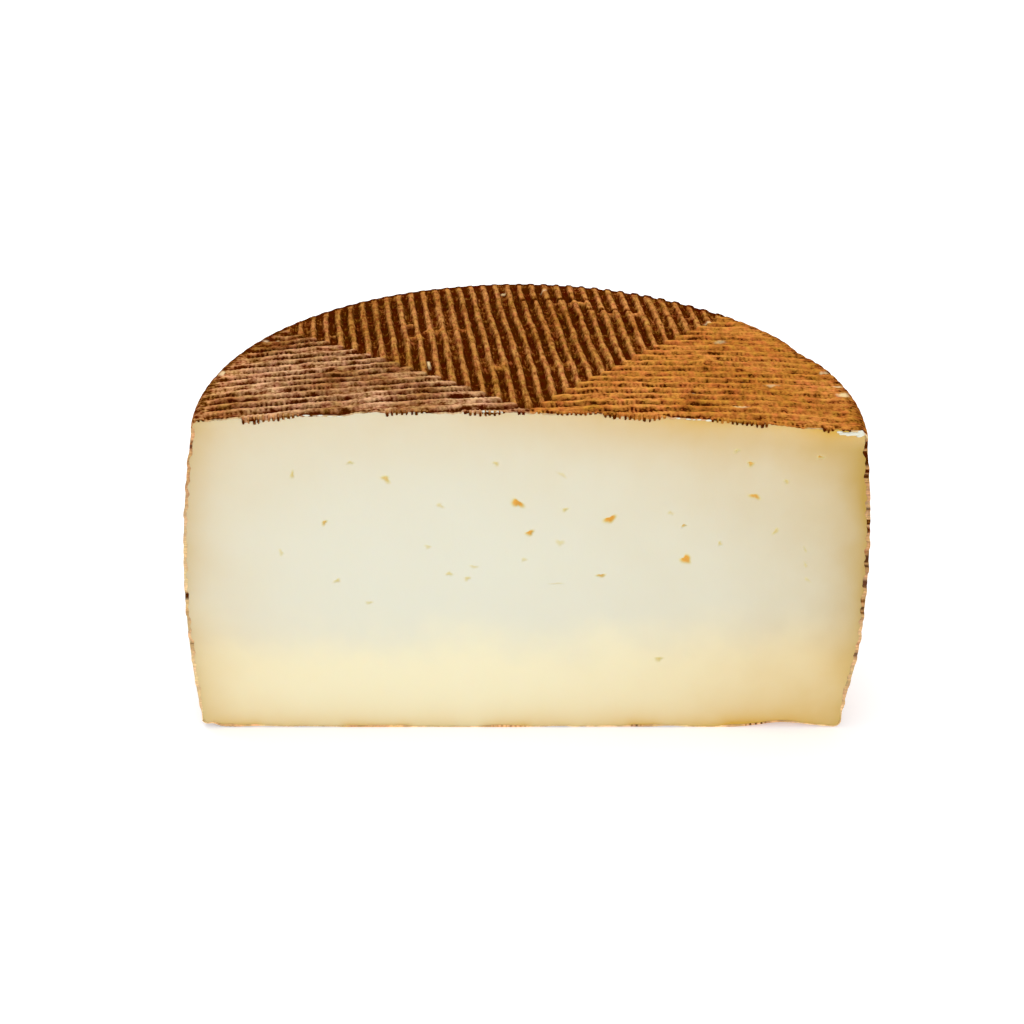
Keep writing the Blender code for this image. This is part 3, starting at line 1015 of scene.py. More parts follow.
def face_surface(form, face, sector, side):
    """A sector of a flat face with its part of the round edge, as a grid: relief, smooth, inwards and masks.

    A row runs from the corner line to the rim and on over the edge. The height is the face's own, less the
    ridges' fall, and the plan is moved by the wander and the swelling.
    """
    starts, headings = (back_rows if sector == "back" else flank_rows)(form, side, face.radius)
    reach = reach_to_rim(starts, headings, face.radius)
    share = np.linspace(0, 1, SECTOR_COLUMNS[sector])
    plan = starts[:, None] + headings[:, None] * (reach[:, None] * share)[..., None]
    x, y = plan[..., 0], plan[..., 1]
    u, v = to_pattern(form, x, y)
    rim_distance = np.maximum(face.radius - np.hypot(x, y), 0)
    fall, down, bridge, along, across = ridge_relief(form, face, sector, side, u, v, rim_distance)
    moved_x, moved_y = wandered(form, face, x, y, rim_distance)
    swell_x, swell_y = swelled(form, face, x, y)
    part_x = x + swell_x + axis_x(form, face.rim_height)
    behind = y + form.wheel.axis_behind_cut
    rise = lumps(face, x, y, rim_distance)
    smooth_height = face.height(moved_x, moved_y)
    missing, burr = np.zeros((2, *x.shape))
    if face.name == "top":
        missing = fleck_share(u, v)
        fall = fall * (1 - FLECK_FLAT * missing) + FLECK_DEPTH * missing
        fall, down, burr = at_top_edge(form, part_x, behind, fall, down)
        height = smooth_height - fall + rise
    else:
        fall = at_base_edge(part_x, behind, fall)
        height = np.maximum(fall + rise, 0)
    moved_x, moved_y = moved_x + swell_x, moved_y + swell_y
    flat_part = face.place(moved_x, moved_y, height)
    flat_smooth = face.place(moved_x, moved_y, smooth_height)
    flat_inward = np.broadcast_to(np.array([0, 0, -face.up]), flat_part.shape)
    edge_part, edge_smooth, edge_inward, turn = round_edge(form, face, x[:, -1:], y[:, -1:], fall[:, -1:])

    surface = np.concatenate([flat_part, edge_part], 1)
    smooth = np.concatenate([flat_smooth, edge_smooth], 1)
    inward = np.concatenate([flat_inward, edge_inward], 1)
    dust, gold, aged = tones(sector_name(sector, side), surface[..., 0], surface[..., 1])
    edge_down = down[:, -1:] * np.cos(turn) + SIDE_START_DARK * np.sin(turn)
    edge_fleck = missing[:, -1:] * blend(*FLECK_TURN, turn)
    bridge = np.concatenate([bridge, np.repeat(bridge[:, -1:], EDGE_TURNS, 1)], 1)
    masks = {
        "fall": aged + np.concatenate([down, edge_down], 1),
        "dust": dust,
        "gold": np.maximum(gold, BRIDGE_GOLD * bridge),
        "fleck": np.concatenate([np.maximum(missing, BURR_CLEAR * burr), edge_fleck], 1),
        "strand_along": np.concatenate([along, along[:, -1:] + face.edge * turn], 1),
        "strand_across": np.concatenate([across, np.repeat(across[:, -1:], EDGE_TURNS, 1)], 1),
    }
    return surface, smooth, inward, masks


# The top's section along the cut: how thick and how dark it is away from the fringes, what the ends of the
# twists cover of it in a fringe and by how much they pass it, and how dark it is behind them
THIN_RIND = 0.4 * MM
THIN_DARK = 0.45
TWIST_COVER = 0.7
TWIST_TIP = 0.2 * MM
FRINGE_DARK = 0.55
BLOTCH_MEAN = 0.85
# Where it is pale: in places, and at its torn right end, from x to x in mm
PALE_RANGE = (0.1, 0.6)
PALE_PLACES = 0.4
TORN_START = (93.5, 96.0)
TORN_PALE = 0.9


def top_section(x):
    """How thick, how dark and how pale the top's section is along the cut.

    In the fringes it hangs down, dark behind the ends of the twists. Between them it is thin.
    """
    line = in_line(x)
    hang, within, dark = fringe(x)
    thin = THIN_RIND * (1 + grain("thin rind", line))
    hidden = np.maximum(hang * (TWIST_COVER + grain("behind the bars", line)) - TWIST_TIP, TWIST_TIP)
    in_places = PALE_PLACES * blend(*PALE_RANGE, grain("pale rind", line))
    torn = TORN_PALE * blend(*TORN_START, x / MM)
    blotch = BLOTCH_MEAN + grain("fringe blotch", line)
    shade = THIN_DARK + (FRINGE_DARK * dark * blotch - THIN_DARK) * within
    return thin * (1 - within) + hidden * within, shade, np.maximum(in_places, torn) * (1 - within)


# The base's line along the cut: how thick it is, of that the part it keeps where it isn't golden, how dark
# its dots are, how pale it is where it is golden and how much paler elsewhere, its gold, and its dusty bloom
# with a painted sheen
BASE_SECTION = 0.75 * MM
FAINT_SECTION = 0.45
DOT_RANGE = (0.1, 0.7)
DOT_DARK = 0.85
GOLDEN_PALE = 0.45
FAINT_PALE = 0.4
BASE_LINE_GOLD = 1.0
BASE_LINE_DUST_AND_SHEEN = 0.2


def base_section(form, x):
    """How thick, how dark and how pale the base's section is along the cut.

    It is a thin line, golden and wider in places, with the dark ends of a few twists.
    """
    line = in_line(x)
    gold = base_gold(x)
    thick = BASE_SECTION * (FAINT_SECTION + (1 - FAINT_SECTION) * gold) * (1 + grain("base section", line))
    wave = np.sin(2 * np.pi * x / form.ridges.bead_pitch + grain("base dots", line))
    dots = blend(*DOT_RANGE, wave) * stretches(x / MM, BASE_DOTS, *DOT_ENDS)
    return thick, DOT_DARK * dots, (GOLDEN_PALE + FAINT_PALE * (1 - gold)) * (1 - dots)


def face_crust(form, face, sector, side, material):
    """Makes one sector of a flat face as a closed crust, with its section along the cut."""
    surface, smooth, inward, masks = face_surface(form, face, sector, side)
    x = surface[..., 0]
    section, dark, pale = top_section(x) if face.name == "top" else base_section(form, x)
    rings, edge = crust_rings(surface, smooth, inward, section)
    dark, pale = dark.ravel()[edge], pale.ravel()[edge]
    masks = ring_masks(masks, edge)
    if face.name == "top":
        at_cut = on_the_cut(surface).ravel()[edge]
        masks["fall"][1] = np.where(at_cut, dark, masks["fall"][1])
        masks["fleck"][1] = np.maximum(masks["fleck"][1], pale * at_cut)
    else:
        tints = {"gold": BASE_LINE_GOLD, "dust": BASE_LINE_DUST_AND_SHEEN}
        paint_section(masks, surface, edge, fall=dark, fleck=pale, **tints)
    side_word = {-1: "left", 1: "right"}[side]
    name = f"rind_{face.name}_{'back_' if sector == 'back' else ''}{side_word}"
    return make_piece(name, surface, rings, masks, material, "rind")


# The round side

# How the fall grows from a strand's middle to its edge, how far beside a fold a strand dips or rises and by
# how much, where the strands come in above the base and end under the top, and how worn they are
STRAND_POWER = 2.6
FOLD_REACH = 1.5 * MM
FOLD_DIP = 0.22 * MM
STRANDS_START = 3.2 * MM
LAST_STRAND = (0.5, 0.75)
BAND_WEAR = 0.82


def band_relief(form, share, level, rise):
    """The side's fall, how far down in a groove a place lies, its strand's number, and the strand's slope.

    The strands swing in a triangle wave round the wheel. Across each, the fall grows with the power of the
    distance from its middle. Beside a fold a strand dips or rises, by turns, as one passes over the other.
    """
    band = form.band
    strand_pitch = (rise - 2 * band.margin) / band.rows
    half_round = np.pi * form.wheel.radius
    fold = share * band.folds
    fold_length = half_round / band.folds
    swing = band.swing * (1 - 2 * np.abs(np.mod(fold, 2) - 1))
    places = flat(share * half_round, level)
    across = (level - band.margin - swing + grain("strand wander", places)) / strand_pitch
    number = np.clip(np.round(across), 0, band.rows)
    from_middle = np.abs(across - number) * 2
    to_fold = np.abs(fold - np.round(fold)) * fold_length
    parity = np.where((number + np.round(fold)) % 2 > 0, 1, -1)
    cross = np.exp(-((to_fold / FOLD_REACH) ** 2)) * parity
    edges = blend(0, STRANDS_START, level) * blend(rise, rise - STRANDS_START, level)
    beyond = blend(*LAST_STRAND, across - band.rows) + blend(*LAST_STRAND, -across)
    worn = BAND_WEAR + grain("band wear", places)
    down = np.clip(from_middle, 0, 1.0) ** STRAND_POWER * edges * (1 - beyond) * worn
    fall = band.depth * down + FOLD_DIP * (1 - cross) / 2 * edges * (1 - down)
    fall = fall + raised_grain("small band lumps", places) * edges + raised_grain("band lumps", places)
    slope = band.swing * 2 * np.where(np.mod(fold, 2) < 1, 1, -1) / fold_length
    return fall, down, number, slope


# The step at the back: how far round from it the band's end thins out, and over which share of the height the
# step runs out at the base and at the top
OVERLAP_LENGTH = 16 * MM
OVERLAP_ENDS = 0.06
# The side's section along the cut, which is thinner at its foot
SIDE_SECTIONS = {-1: 0.9 * MM, 1: 1.1 * MM}
FOOT_SECTION = 0.3
FOOT_ZONE = (3 * MM, 11 * MM)
SIDE_DOTS = {
    # Where its dark dots are: from height to height in mm, and how dark
    -1: ((100, 108, 0.75), (77, 79, 0.6), (48.5, 50.5, 1.0), (40, 43, 0.5), (30.5, 32, 0.7)),
    1: ((89, 105, 1.0), (72, 80, 1.1), (52, 65, 0.85), (40, 48, 0.85), (27, 32, 0.6)),
}
# The ends of its stretches of dots, as above, where the grain makes a dot, and how dark it is between two
SIDE_DOT_ENDS = (1, 0.5)
SPOT_RANGE = (-0.15, 0.2)
BETWEEN_SPOTS = 0.15
SIDE_PALE = {
    # Heights in mm, and how pale it is there between the dots
    -1: ((25, 36, 44, 50, 75, 83), (0.75, 0.5, 0.5, 0.75, 0.65, 0.35)),
    1: ((0, 45, 60), (0.55, 0.4, 0.3)),
}
# the sections' dusty bloom, with a painted sheen, and their gold, at the left and the right
SIDE_TINTS = {-1: (0.3, 0.6), 1: (0.35, 0.55)}  # dust and gold
# How dark the section is, how dark the band's strands and grooves are, and how far apart two strands read the
# fibres
SECTION_SHADE = 0.1
STRAND_SHADE = 0.18
BAND_DARK = 0.9
STRAND_STRIDE = 5.3 * MM


def side_crust(form, side, material):
    """Makes half of the round side, from the base's edge to the top's, with the print of the plaited band."""
    top, base = Face(form, "top"), Face(form, "base")
    first, last = {1: (0.0, 0.5), -1: (0.5, 1.0)}[side]
    share, climb = np.meshgrid(np.linspace(first, last, SIDE_COLUMNS), np.linspace(0, 1, SIDE_ROWS))
    rise = form.wheel.height - form.wheel.crown
    arc = share * np.pi * form.wheel.radius
    fall, down, number, slope = band_relief(form, share, climb * rise, rise)
    if side < 0:
        middle = first * np.pi * form.wheel.radius
        step = blend(0, OVERLAP_ENDS, climb) * blend(1, 1 - OVERLAP_ENDS, climb)
        fall = fall - form.band.overlap * blend(OVERLAP_LENGTH, 0, arc - middle) * step
    height = base.edge + climb * (top.join_height(share) - base.edge)
    radius = barrel_radius(form, height)
    surface = around(form, share, radius - fall, height)
    smooth = around(form, share, radius, height)
    upright = flat(np.zeros_like(height), height)
    section = SIDE_SECTIONS[side] * (FOOT_SECTION + (1 - FOOT_SECTION) * blend(*FOOT_ZONE, height))
    section = section * (1 + grain("side section", upright))
    rings, edge = crust_rings(surface, smooth, -outwards(form, share, radius), section)
    dust, gold, _ = tones("band", surface[..., 0], surface[..., 1])
    masks = {
        "fall": STRAND_SHADE + BAND_DARK * down,
        "dust": dust,
        "gold": gold,
        "fleck": np.zeros_like(down),
        "strand_along": arc + STRAND_STRIDE * number,
        "strand_across": climb * rise - slope * arc,
    }
    masks = ring_masks(masks, edge)
    spots = BETWEEN_SPOTS + (1 - BETWEEN_SPOTS) * blend(*SPOT_RANGE, grain("side dots", upright))
    dots = (stretches(height / MM, SIDE_DOTS[side], *SIDE_DOT_ENDS) * spots).ravel()[edge]
    pale = (np.interp(height / MM, *SIDE_PALE[side]) + grain("pale side", upright)).ravel()[edge]
    dust, gold = SIDE_TINTS[side]
    paint_section(
        masks, surface, edge, fall=SECTION_SHADE + dots, dust=dust, gold=gold, fleck=pale * (1 - dots)
    )
    name = {1: "rind_side_right", -1: "rind_side_left"}[side]
    return make_piece(name, surface, rings, masks, material, "rind")


# The paste

PASTE_ROWS = {"foot": 6, "wall": 188, "shoulder": 8}
PASTE_COLUMNS = 372
# How far the cut face lies behind the rind's section, how far it goes under the section at the sides, the top
# and the base, as shares of it, and the least half width of a slice
PASTE_BEHIND = 0.06 * MM
PASTE_UNDER = 0.45
UNDER_TOP = 0.5
UNDER_BASE = 0.25
LEAST_HALF = 0.5 * MM
# Where the grid starts to take on the top's line and has left the base's line
TOP_LINE_FROM = 55 * MM
BASE_LINE_TO = 8 * MM
# The paste behind the cut: how deep its first step is, how far inside the wheel it stays, and its slices
LIP = 0.1 * MM
CORE_INSET = 3.6 * MM
CORE_SLICES = np.array([1.2, 12, 30, 48, 64, 78, 88, 95, 99]) * MM
EYES = (
    # Holes in the paste: x, height, half length and half width in mm, tilt in degrees, depth in mm
    (-2.1, 81.9, 2.0, 1.3, -50, 0.9),
    (25.9, 76.3, 1.75, 1.3, 40, 0.9),
    (49.4, 62.3, 2.0, 1.3, -38, 0.85),
    (69.1, 84.2, 1.7, 1.0, -25, 0.7),
    (-41.3, 90.2, 1.6, 1.1, -20, 0.5),
    (1.7, 71.6, 1.4, 0.9, 0, 0.75),
    (23.6, 56.5, 1.3, 0.75, 5, 0.6),
    (67.2, 95.3, 1.2, 0.8, 0, 0.65),
    (-60.3, 75.2, 1.0, 0.8, 30, 0.55),
    (-25.3, 81.1, 1.3, 0.8, -15, 0.25),
    (-69.1, 91.6, 0.78, 1.26, 0, 0.4),
    (-57.3, 54.7, 1.04, 0.84, 20, 0.35),
    (-8.4, 95.4, 1.04, 0.7, 0, 0.4),
    (12.3, 79.7, 1.04, 0.7, 0, 0.4),
    (10.9, 68.2, 1.17, 1.4, 20, 0.25),
    (0.0, 62.2, 1.3, 0.55, 15, 0.25),
    (10.1, 53.7, 2.3, 0.35, 0, 0.2),
    (-22.9, 57.2, 1.04, 0.84, 25, 0.35),
    (-17.4, 55.5, 1.04, 0.84, -30, 0.35),
    (-15.3, 59.7, 1.17, 0.7, -10, 0.25),
    (-29.2, 66.8, 1.17, 0.7, 10, 0.25),
    (48.2, 74.2, 0.8, 0.5, 0, 0.6),
    (44.0, 78.6, 0.91, 0.7, 0, 0.25),
    (59.4, 67.9, 0.78, 0.7, 30, 0.4),
    (76.1, 72.2, 1.2, 0.8, 50, 0.4),
    (78.2, 89.3, 0.8, 0.8, 0, 0.45),
    (62.8, 99.7, 1.04, 0.7, 0, 0.35),
    (87.6, 97.5, 0.9, 0.7, 0, 0.7),
    (85.4, 65.8, 0.35, 1.3, 25, 0.3),
    (85.9, 60.4, 0.39, 1.4, 30, 0.3),
    (86.9, 55.1, 0.5, 1.4, 40, 0.25),
    (42.3, 26.0, 1.6, 0.8, -10, 0.4),
    (-47.8, 46.8, 1.04, 0.7, 0, 0.3),
    (-73.9, 64.7, 0.78, 1.12, 0, 0.25),
    (11.3, 91.6, 1.9, 0.6, -40, 0.2),
    (-51.7, 95.7, 1.04, 0.7, 10, 0.35),
)
# How the grid is drawn together round a hole: its reach against the hole's size, and its strength
PULL_REACH = 2.6
PULL = 0.55
# A hole's outline leaves the ellipse by waves: how many round it, how strong, and their turn from hole to
# hole
OUTLINE_WAVES = ((2, 0.25, 2.4), (3, 0.22, 1.0))
# From where to where a hole's bowl and its mark reach, against its outline, and how a mark grows with the
# depth
BOWL = (1.05, 0.2)
MARK = (1.45, 0.3)
MARK_START = 0.2
MARK_GROWTH = 0.95
# The knife's marks are drawn out upwards, and fade out beside the edges
KNIFE_STRETCH = np.array([1, 0.35, 1])
WAVES_INSIDE = 3 * MM

Drying = namedtuple("Drying", "share rightwards reach")
DRYING_AND_SHADE = {
    # How dry the paste is at an edge, how much more at the right, and how far that reaches
    "top": Drying(0.33, 0.59, 16 * MM),
    "left": Drying(0.3, 0.0, 22 * MM),
    "base": Drying(0.53, 0.15, 5.5 * MM),
    "low right": Drying(0.65, 0.0, 39 * MM),
    "low left": Drying(0.08, 0.0, 22 * MM),
    "golden line": Drying(0.45, 0.0, 1.6 * MM),
    # painted shade: the next three darken the sides to olive tan, partly drier paste, partly painted shade
    "right side": Drying(0.5, 0.0, 44 * MM),
    "right edge": Drying(0.56, 0.0, 5.5 * MM),
    "left edge": Drying(0.43, 0.0, 6 * MM),
}
# Where these change, along X, by height or by the distance from an edge, and what is left below and in
# corners
DRY_RIGHTWARDS = (-50 * MM, 95 * MM)
LOWER = (50 * MM, 20 * MM)
UPPER = (18 * MM, 50 * MM)
BELOW_UPPER = 0.47
OFF_CORNERS = 20 * MM
IN_CORNERS = 0.35
UNDER_TOP_EDGE = 7.5 * MM


def section_sides(form, y, insets):
    """The two side outlines of an upright section through the wheel, from the base's rim up to the top's.

    Each goes round the foot, up the barrel and over the shoulder, its own inset inside the smooth wheel. The
    section's half width at a height is the chord of the radius there.
    """
    top, base = Face(form, "top"), Face(form, "base")
    sides = []
    for sign, share, inset in ((-1, 1.0, insets[0]), (1, 0.0, insets[1])):
        join = top.join_height(np.array([share]))[0]
        foot = np.linspace(0, np.pi / 2, PASTE_ROWS["foot"], endpoint=False)
        wall = np.linspace(base.edge, join, PASTE_ROWS["wall"])
        over = np.linspace(np.pi / 2, 0, PASTE_ROWS["shoulder"] + 1)[1:]
        radius = np.concatenate([
            base.radius + (base.edge - min(inset, base.edge)) * np.sin(foot),
            barrel_radius(form, wall) - inset,
            top.radius - max(inset - top.edge, 0) + (top.edge - min(inset, top.edge)) * np.sin(over),
        ])
        height = np.concatenate([
            base.edge - (base.edge - inset) * np.cos(foot),
            np.clip(wall, inset, join + top.edge - inset),
            join + (top.edge - inset) * np.cos(over),
        ])
        radius = radius + swelling(share, height)
        half = np.sqrt(np.maximum(radius**2 - y**2, LEAST_HALF**2))
        sides.append((axis_x(form, height) + sign * half, height))
    return sides


def cut_line(form, face):
    """The x and the height of a face's relief along the cut, from left to right."""
    columns = SECTOR_COLUMNS["flank"]
    left, right = (face_surface(form, face, "flank", side)[0][0, :columns] for side in (-1, 1))
    line = np.concatenate([left[::-1], right[1:]])
    return line[:, 0], line[:, 2]


def dryness_and_shade(x, height, left_gap, right_gap, top_gap):
    """How far the paste has dried: to yellow tan near its edges, and to olive tan at the very sides.

    Each kind of drying falls off with the distance from an edge, at its own rate. The olive tan at the very
    sides is partly drier paste and partly painted shade.
    """
    to_right = blend(*DRY_RIGHTWARDS, x)
    upper = BELOW_UPPER + (1 - BELOW_UPPER) * blend(*UPPER, height)
    corners = IN_CORNERS + (1 - IN_CORNERS) * blend(0, OFF_CORNERS, np.minimum(left_gap, right_gap))

    def dried(name, gap):
        """One kind of drying: its share, which grows to the right, times e to the minus distance by reach."""
        share, rightwards, reach = DRYING_AND_SHADE[name]
        return (share + rightwards * to_right) * np.exp(-gap / reach)

    dry = dried("top", top_gap) + dried("left", left_gap) + dried("base", height) * corners
    dry = dry + blend(*LOWER, height) * (dried("low right", right_gap) + dried("low left", left_gap))
    dry = dry + base_gold(x) * dried("golden line", height)
    # painted shade: the sides' olive tan, partly drier paste and partly painted shade
    edge = (dried("right side", right_gap) + dried("right edge", right_gap)) * upper
    edge = edge * blend(0, UNDER_TOP_EDGE, top_gap) + dried("left edge", left_gap)
    return np.clip(dry, 0, 1), np.clip(edge, 0, 1)


def drawn_together(x, height):
    """The cut face's places drawn towards each hole, less with the distance, for a finer grid there."""
    for eye_x, eye_z, half_length, half_width, *_ in EYES:
        off_x, off_z = eye_x * MM - x, eye_z * MM - height
        span = PULL_REACH * max(half_length, half_width) * MM
        pull = PULL * np.exp(-(off_x**2 + off_z**2) / span**2)
        x, height = x + off_x * pull, height + off_z * pull
    return x, height


def holes(x, height):
    """How deep the holes dent the cut face, and how strong their marks are.

    Each is a bowl inside a ragged ellipse, with an eased side.
    """
    dent, mark = np.zeros((2, *x.shape))
    for number, (eye_x, eye_z, half_length, half_width, tilt, depth) in enumerate(EYES):
        off_x, off_z = x / MM - eye_x, height / MM - eye_z
        cos, sin = np.cos(np.radians(tilt)), np.sin(np.radians(tilt))
        long_way = (off_x * cos + off_z * sin) / half_length
        wide_way = (off_z * cos - off_x * sin) / half_width
        turn = np.arctan2(wide_way, long_way)
        waves = [size * np.sin(count * turn + shift * number) for count, size, shift in OUTLINE_WAVES]
        near = np.hypot(long_way, wide_way) / (1 + sum(waves))
        dent = np.maximum(dent, depth * MM * blend(*BOWL, near))
        mark = np.maximum(mark, blend(*MARK, near) * min(1.0, MARK_START + MARK_GROWTH * depth))
    return dent, mark


def paste_front(form):
    """The cut face as a grid, the marks of its holes, how dry it is, and how dark its sides are, partly from
    drier paste and partly as painted shade.

    A row runs from side to side. Rows near the base and the top take on the rind's own line there.
    """
    y = PASTE_BEHIND - form.wheel.axis_behind_cut
    insets = [PASTE_UNDER * SIDE_SECTIONS[side] for side in (-1, 1)]
    (left_x, left_z), (right_x, right_z) = section_sides(form, y, insets)
    across = np.linspace(0, 1, PASTE_COLUMNS)
    x = left_x[:, None] + (right_x - left_x)[:, None] * across
    height = left_z[:, None] + (right_z - left_z)[:, None] * across
    top_line = np.interp(x, *cut_line(form, Face(form, "top"))) - UNDER_TOP * THIN_RIND
    base_line = np.interp(x, *cut_line(form, Face(form, "base"))) + UNDER_BASE * BASE_SECTION
    to_top = (top_line - height[-1:]) * blend(TOP_LINE_FROM, height[-1, 0], height)
    height = height + to_top + (base_line - height[:1]) * blend(BASE_LINE_TO, 0, height)
    x, height = drawn_together(x, height)
    dent, mark = holes(x, height)
    gaps = [np.maximum(gap, 0) for gap in (x - left_x[:, None], right_x[:, None] - x, top_line - height)]
    places = flat(x, height)
    waves = raised_grain("paste waves", places) + raised_grain("knife marks", places * KNIFE_STRETCH)
    inside = blend(0, WAVES_INSIDE, np.minimum.reduce(gaps))
    front = CUT_Y + PASTE_BEHIND + inside * waves + dent
    return np.stack([x, front, height], -1), mark, *dryness_and_shade(x, height, *gaps)


def core_ring(form, depth, inset):
    """The outline of a slice of the paste behind the cut, point for point like the cut face's edge."""
    y = depth - form.wheel.axis_behind_cut
    (left_x, left_z), (right_x, right_z) = section_sides(form, y, (inset, inset))
    across = np.linspace(0, 1, PASTE_COLUMNS)
    top = Face(form, "top")
    top_x = left_x[-1] + (right_x[-1] - left_x[-1]) * across
    top_z = top.height(top_x, np.full_like(top_x, y)) - inset
    top_z = top_z + (left_z[-1] - top_z[0]) * (1 - across) + (right_z[-1] - top_z[-1]) * across
    base_x = left_x[0] + (right_x[0] - left_x[0]) * across
    base_z = np.full_like(base_x, left_z[0])
    x = np.concatenate([base_x[:-1], right_x[:-1], top_x[:0:-1], left_x[:0:-1]])
    height = np.concatenate([base_z[:-1], right_z[:-1], top_z[:0:-1], left_z[:0:-1]])
    return np.stack([x, np.full_like(x, CUT_Y + depth), height], -1)


def paste_core(form, material):
    """Makes the paste: the cut face, and slices behind it that stay inside the rind."""
    surface, eye, dry, edge_dry = paste_front(form)
    edge = rim_of(np.arange(eye.size).reshape(eye.shape))
    lip = surface.reshape(-1, 3)[edge] + [0, LIP, 0]
    rings = np.stack([lip] + [core_ring(form, depth, CORE_INSET) for depth in CORE_SLICES])
    zero = np.zeros(rings.shape[:2])
    masks = {"eye": [eye, zero], "dry": [dry, zero], "edge_dry": [edge_dry, zero]}
    return make_piece("paste", surface, rings, masks, material, "paste")


# Small things on the cut's top edge

# A ball's rows and columns of points, and how far apart two balls read the grain for each millimetre between
BALL_ROWS = 7
BALL_COLUMNS = 10
BALL_STRIDE = 10
CRUMB_CLUSTERS = (
    # Loose paste: from x to x, how many, how far under the edge, half length and half height, in mm
    (-65.0, -52.0, 7, 0.25, 0.9, 0.15),
    (-13.5, -6.0, 8, 0.2, 0.6, 0.25),
    (44.0, 54.0, 5, 0.2, 0.9, 0.2),
    (92.6, 99.6, 13, 1.35, 1.0, 0.4),
    (98.4, 99.8, 4, 0.4, 0.6, 0.5),
)
CRUMB_SEED = 7
TWIST_SEED = 11
# The crumbs: half their depth, how their sizes and places vary, and how far round the shoulder they follow it
CRUMB_HALF_DEPTH = 0.25 * MM
CRUMB_VARIES = (0.6, 1.3)
CRUMB_PLACES = (-0.05 * MM, 0.1 * MM)
ROUNDEST_TURN = 0.95
# The ends of the twists: half their width and depth, how these, their length and their places vary, their
# least length, how far they start above the edge and lie behind the cut, and how blunt they are
TWIST_HALF_WIDTH = 0.42 * MM
TWIST_HALF_DEPTH = 0.36 * MM
WIDTH_VARIES = (0.75, 1.15)
LENGTH_VARIES = (0.85, 1.1)
PLACE_VARIES = (-0.14, 0.14)
LEAST_LENGTH = 0.5 * MM
ABOVE_EDGE = 0.15 * MM
BEHIND_CUT = 0.04 * MM
BLUNT = 0.55
# Their looks: how dark they are at the top and how that varies, where they darken, and their gold and their
# dusty bloom with a painted sheen
TWIST_SHADE = 0.15
SHADE_VARIES = (0.45, 1.05)
DARKENING = (0.05, 0.55)
TWIST_DUST_AND_SHEEN = 0.6
TWIST_GOLD = 0.5


def balls(middle, radii, blunt, unevenness):
    """Small closed solids, each pushed out of round by a grain, and how far down each of their points is.

    A ball's directions are raised to a power, which makes it blunter, and drawn out by its three radii.
    """
    polar = np.linspace(0, np.pi, BALL_ROWS)[:, None]
    turn = np.linspace(0, 2 * np.pi, BALL_COLUMNS)
    upwards = np.broadcast_to(np.cos(polar), (BALL_ROWS, BALL_COLUMNS))
    ball = np.stack([np.sin(polar) * np.cos(turn), np.sin(polar) * np.sin(turn), upwards], -1)
    ball[:, -1] = ball[:, 0]
    ball[[0, -1], :, :2] = 0
    ball = np.sign(ball) * np.abs(ball) ** blunt
    uneven = 1 + grain(unevenness, ball[None] + BALL_STRIDE * middle[:, None, None] / MM)[..., None]
    points = middle[:, None, None] + ball[None] * radii[:, None, None] * uneven
    one = quads(np.arange(BALL_ROWS * BALL_COLUMNS).reshape(BALL_ROWS, BALL_COLUMNS))
    triangles = one + BALL_ROWS * BALL_COLUMNS * np.arange(len(middle))[:, None, None]
    down = np.broadcast_to(0.5 - 0.5 * ball[..., 2], points.shape[:-1])
    return points.reshape(-1, 3), triangles.reshape(-1, 3), down


def crumbs(form, material):
    """Makes crumbs of paste along the top's edge, and the torn flap that many of them make at its end.

    Each lies under the edge by its cluster's distance, which past the rim follows the round shoulder down.
    """
    random = np.random.default_rng(CRUMB_SEED)
    clusters = [
        [first + (last - first) * (np.arange(count) + random.uniform(0, 1, count)) / count]
        + [np.full(count, value) for value in rest]
        for first, last, count, *rest in CRUMB_CLUSTERS
    ]
    x, below, half_length, half_height = np.concatenate(clusters, axis=1) * MM
    line_x, line_height = cut_line(form, Face(form, "top"))
    radius = form.wheel.shoulder
    past = np.clip(x - line_x[-1], 0, ROUNDEST_TURN * radius)
    below = below * random.uniform(*CRUMB_VARIES, len(x))
    height = np.interp(x, line_x, line_height) - (radius - np.sqrt(radius**2 - past**2)) - below
    middle = np.stack([x, CUT_Y + random.uniform(*CRUMB_PLACES, len(x)), height], -1)
    radii = np.stack([half_length, np.full_like(x, CRUMB_HALF_DEPTH), half_height], -1)
    radii = radii * random.uniform(*CRUMB_VARIES, (len(x), 1))
    points, triangles, _ = balls(middle, radii, 1.0, "uneven crumb")
    return put_in("crumbs", points, triangles, {}, material, "paste")


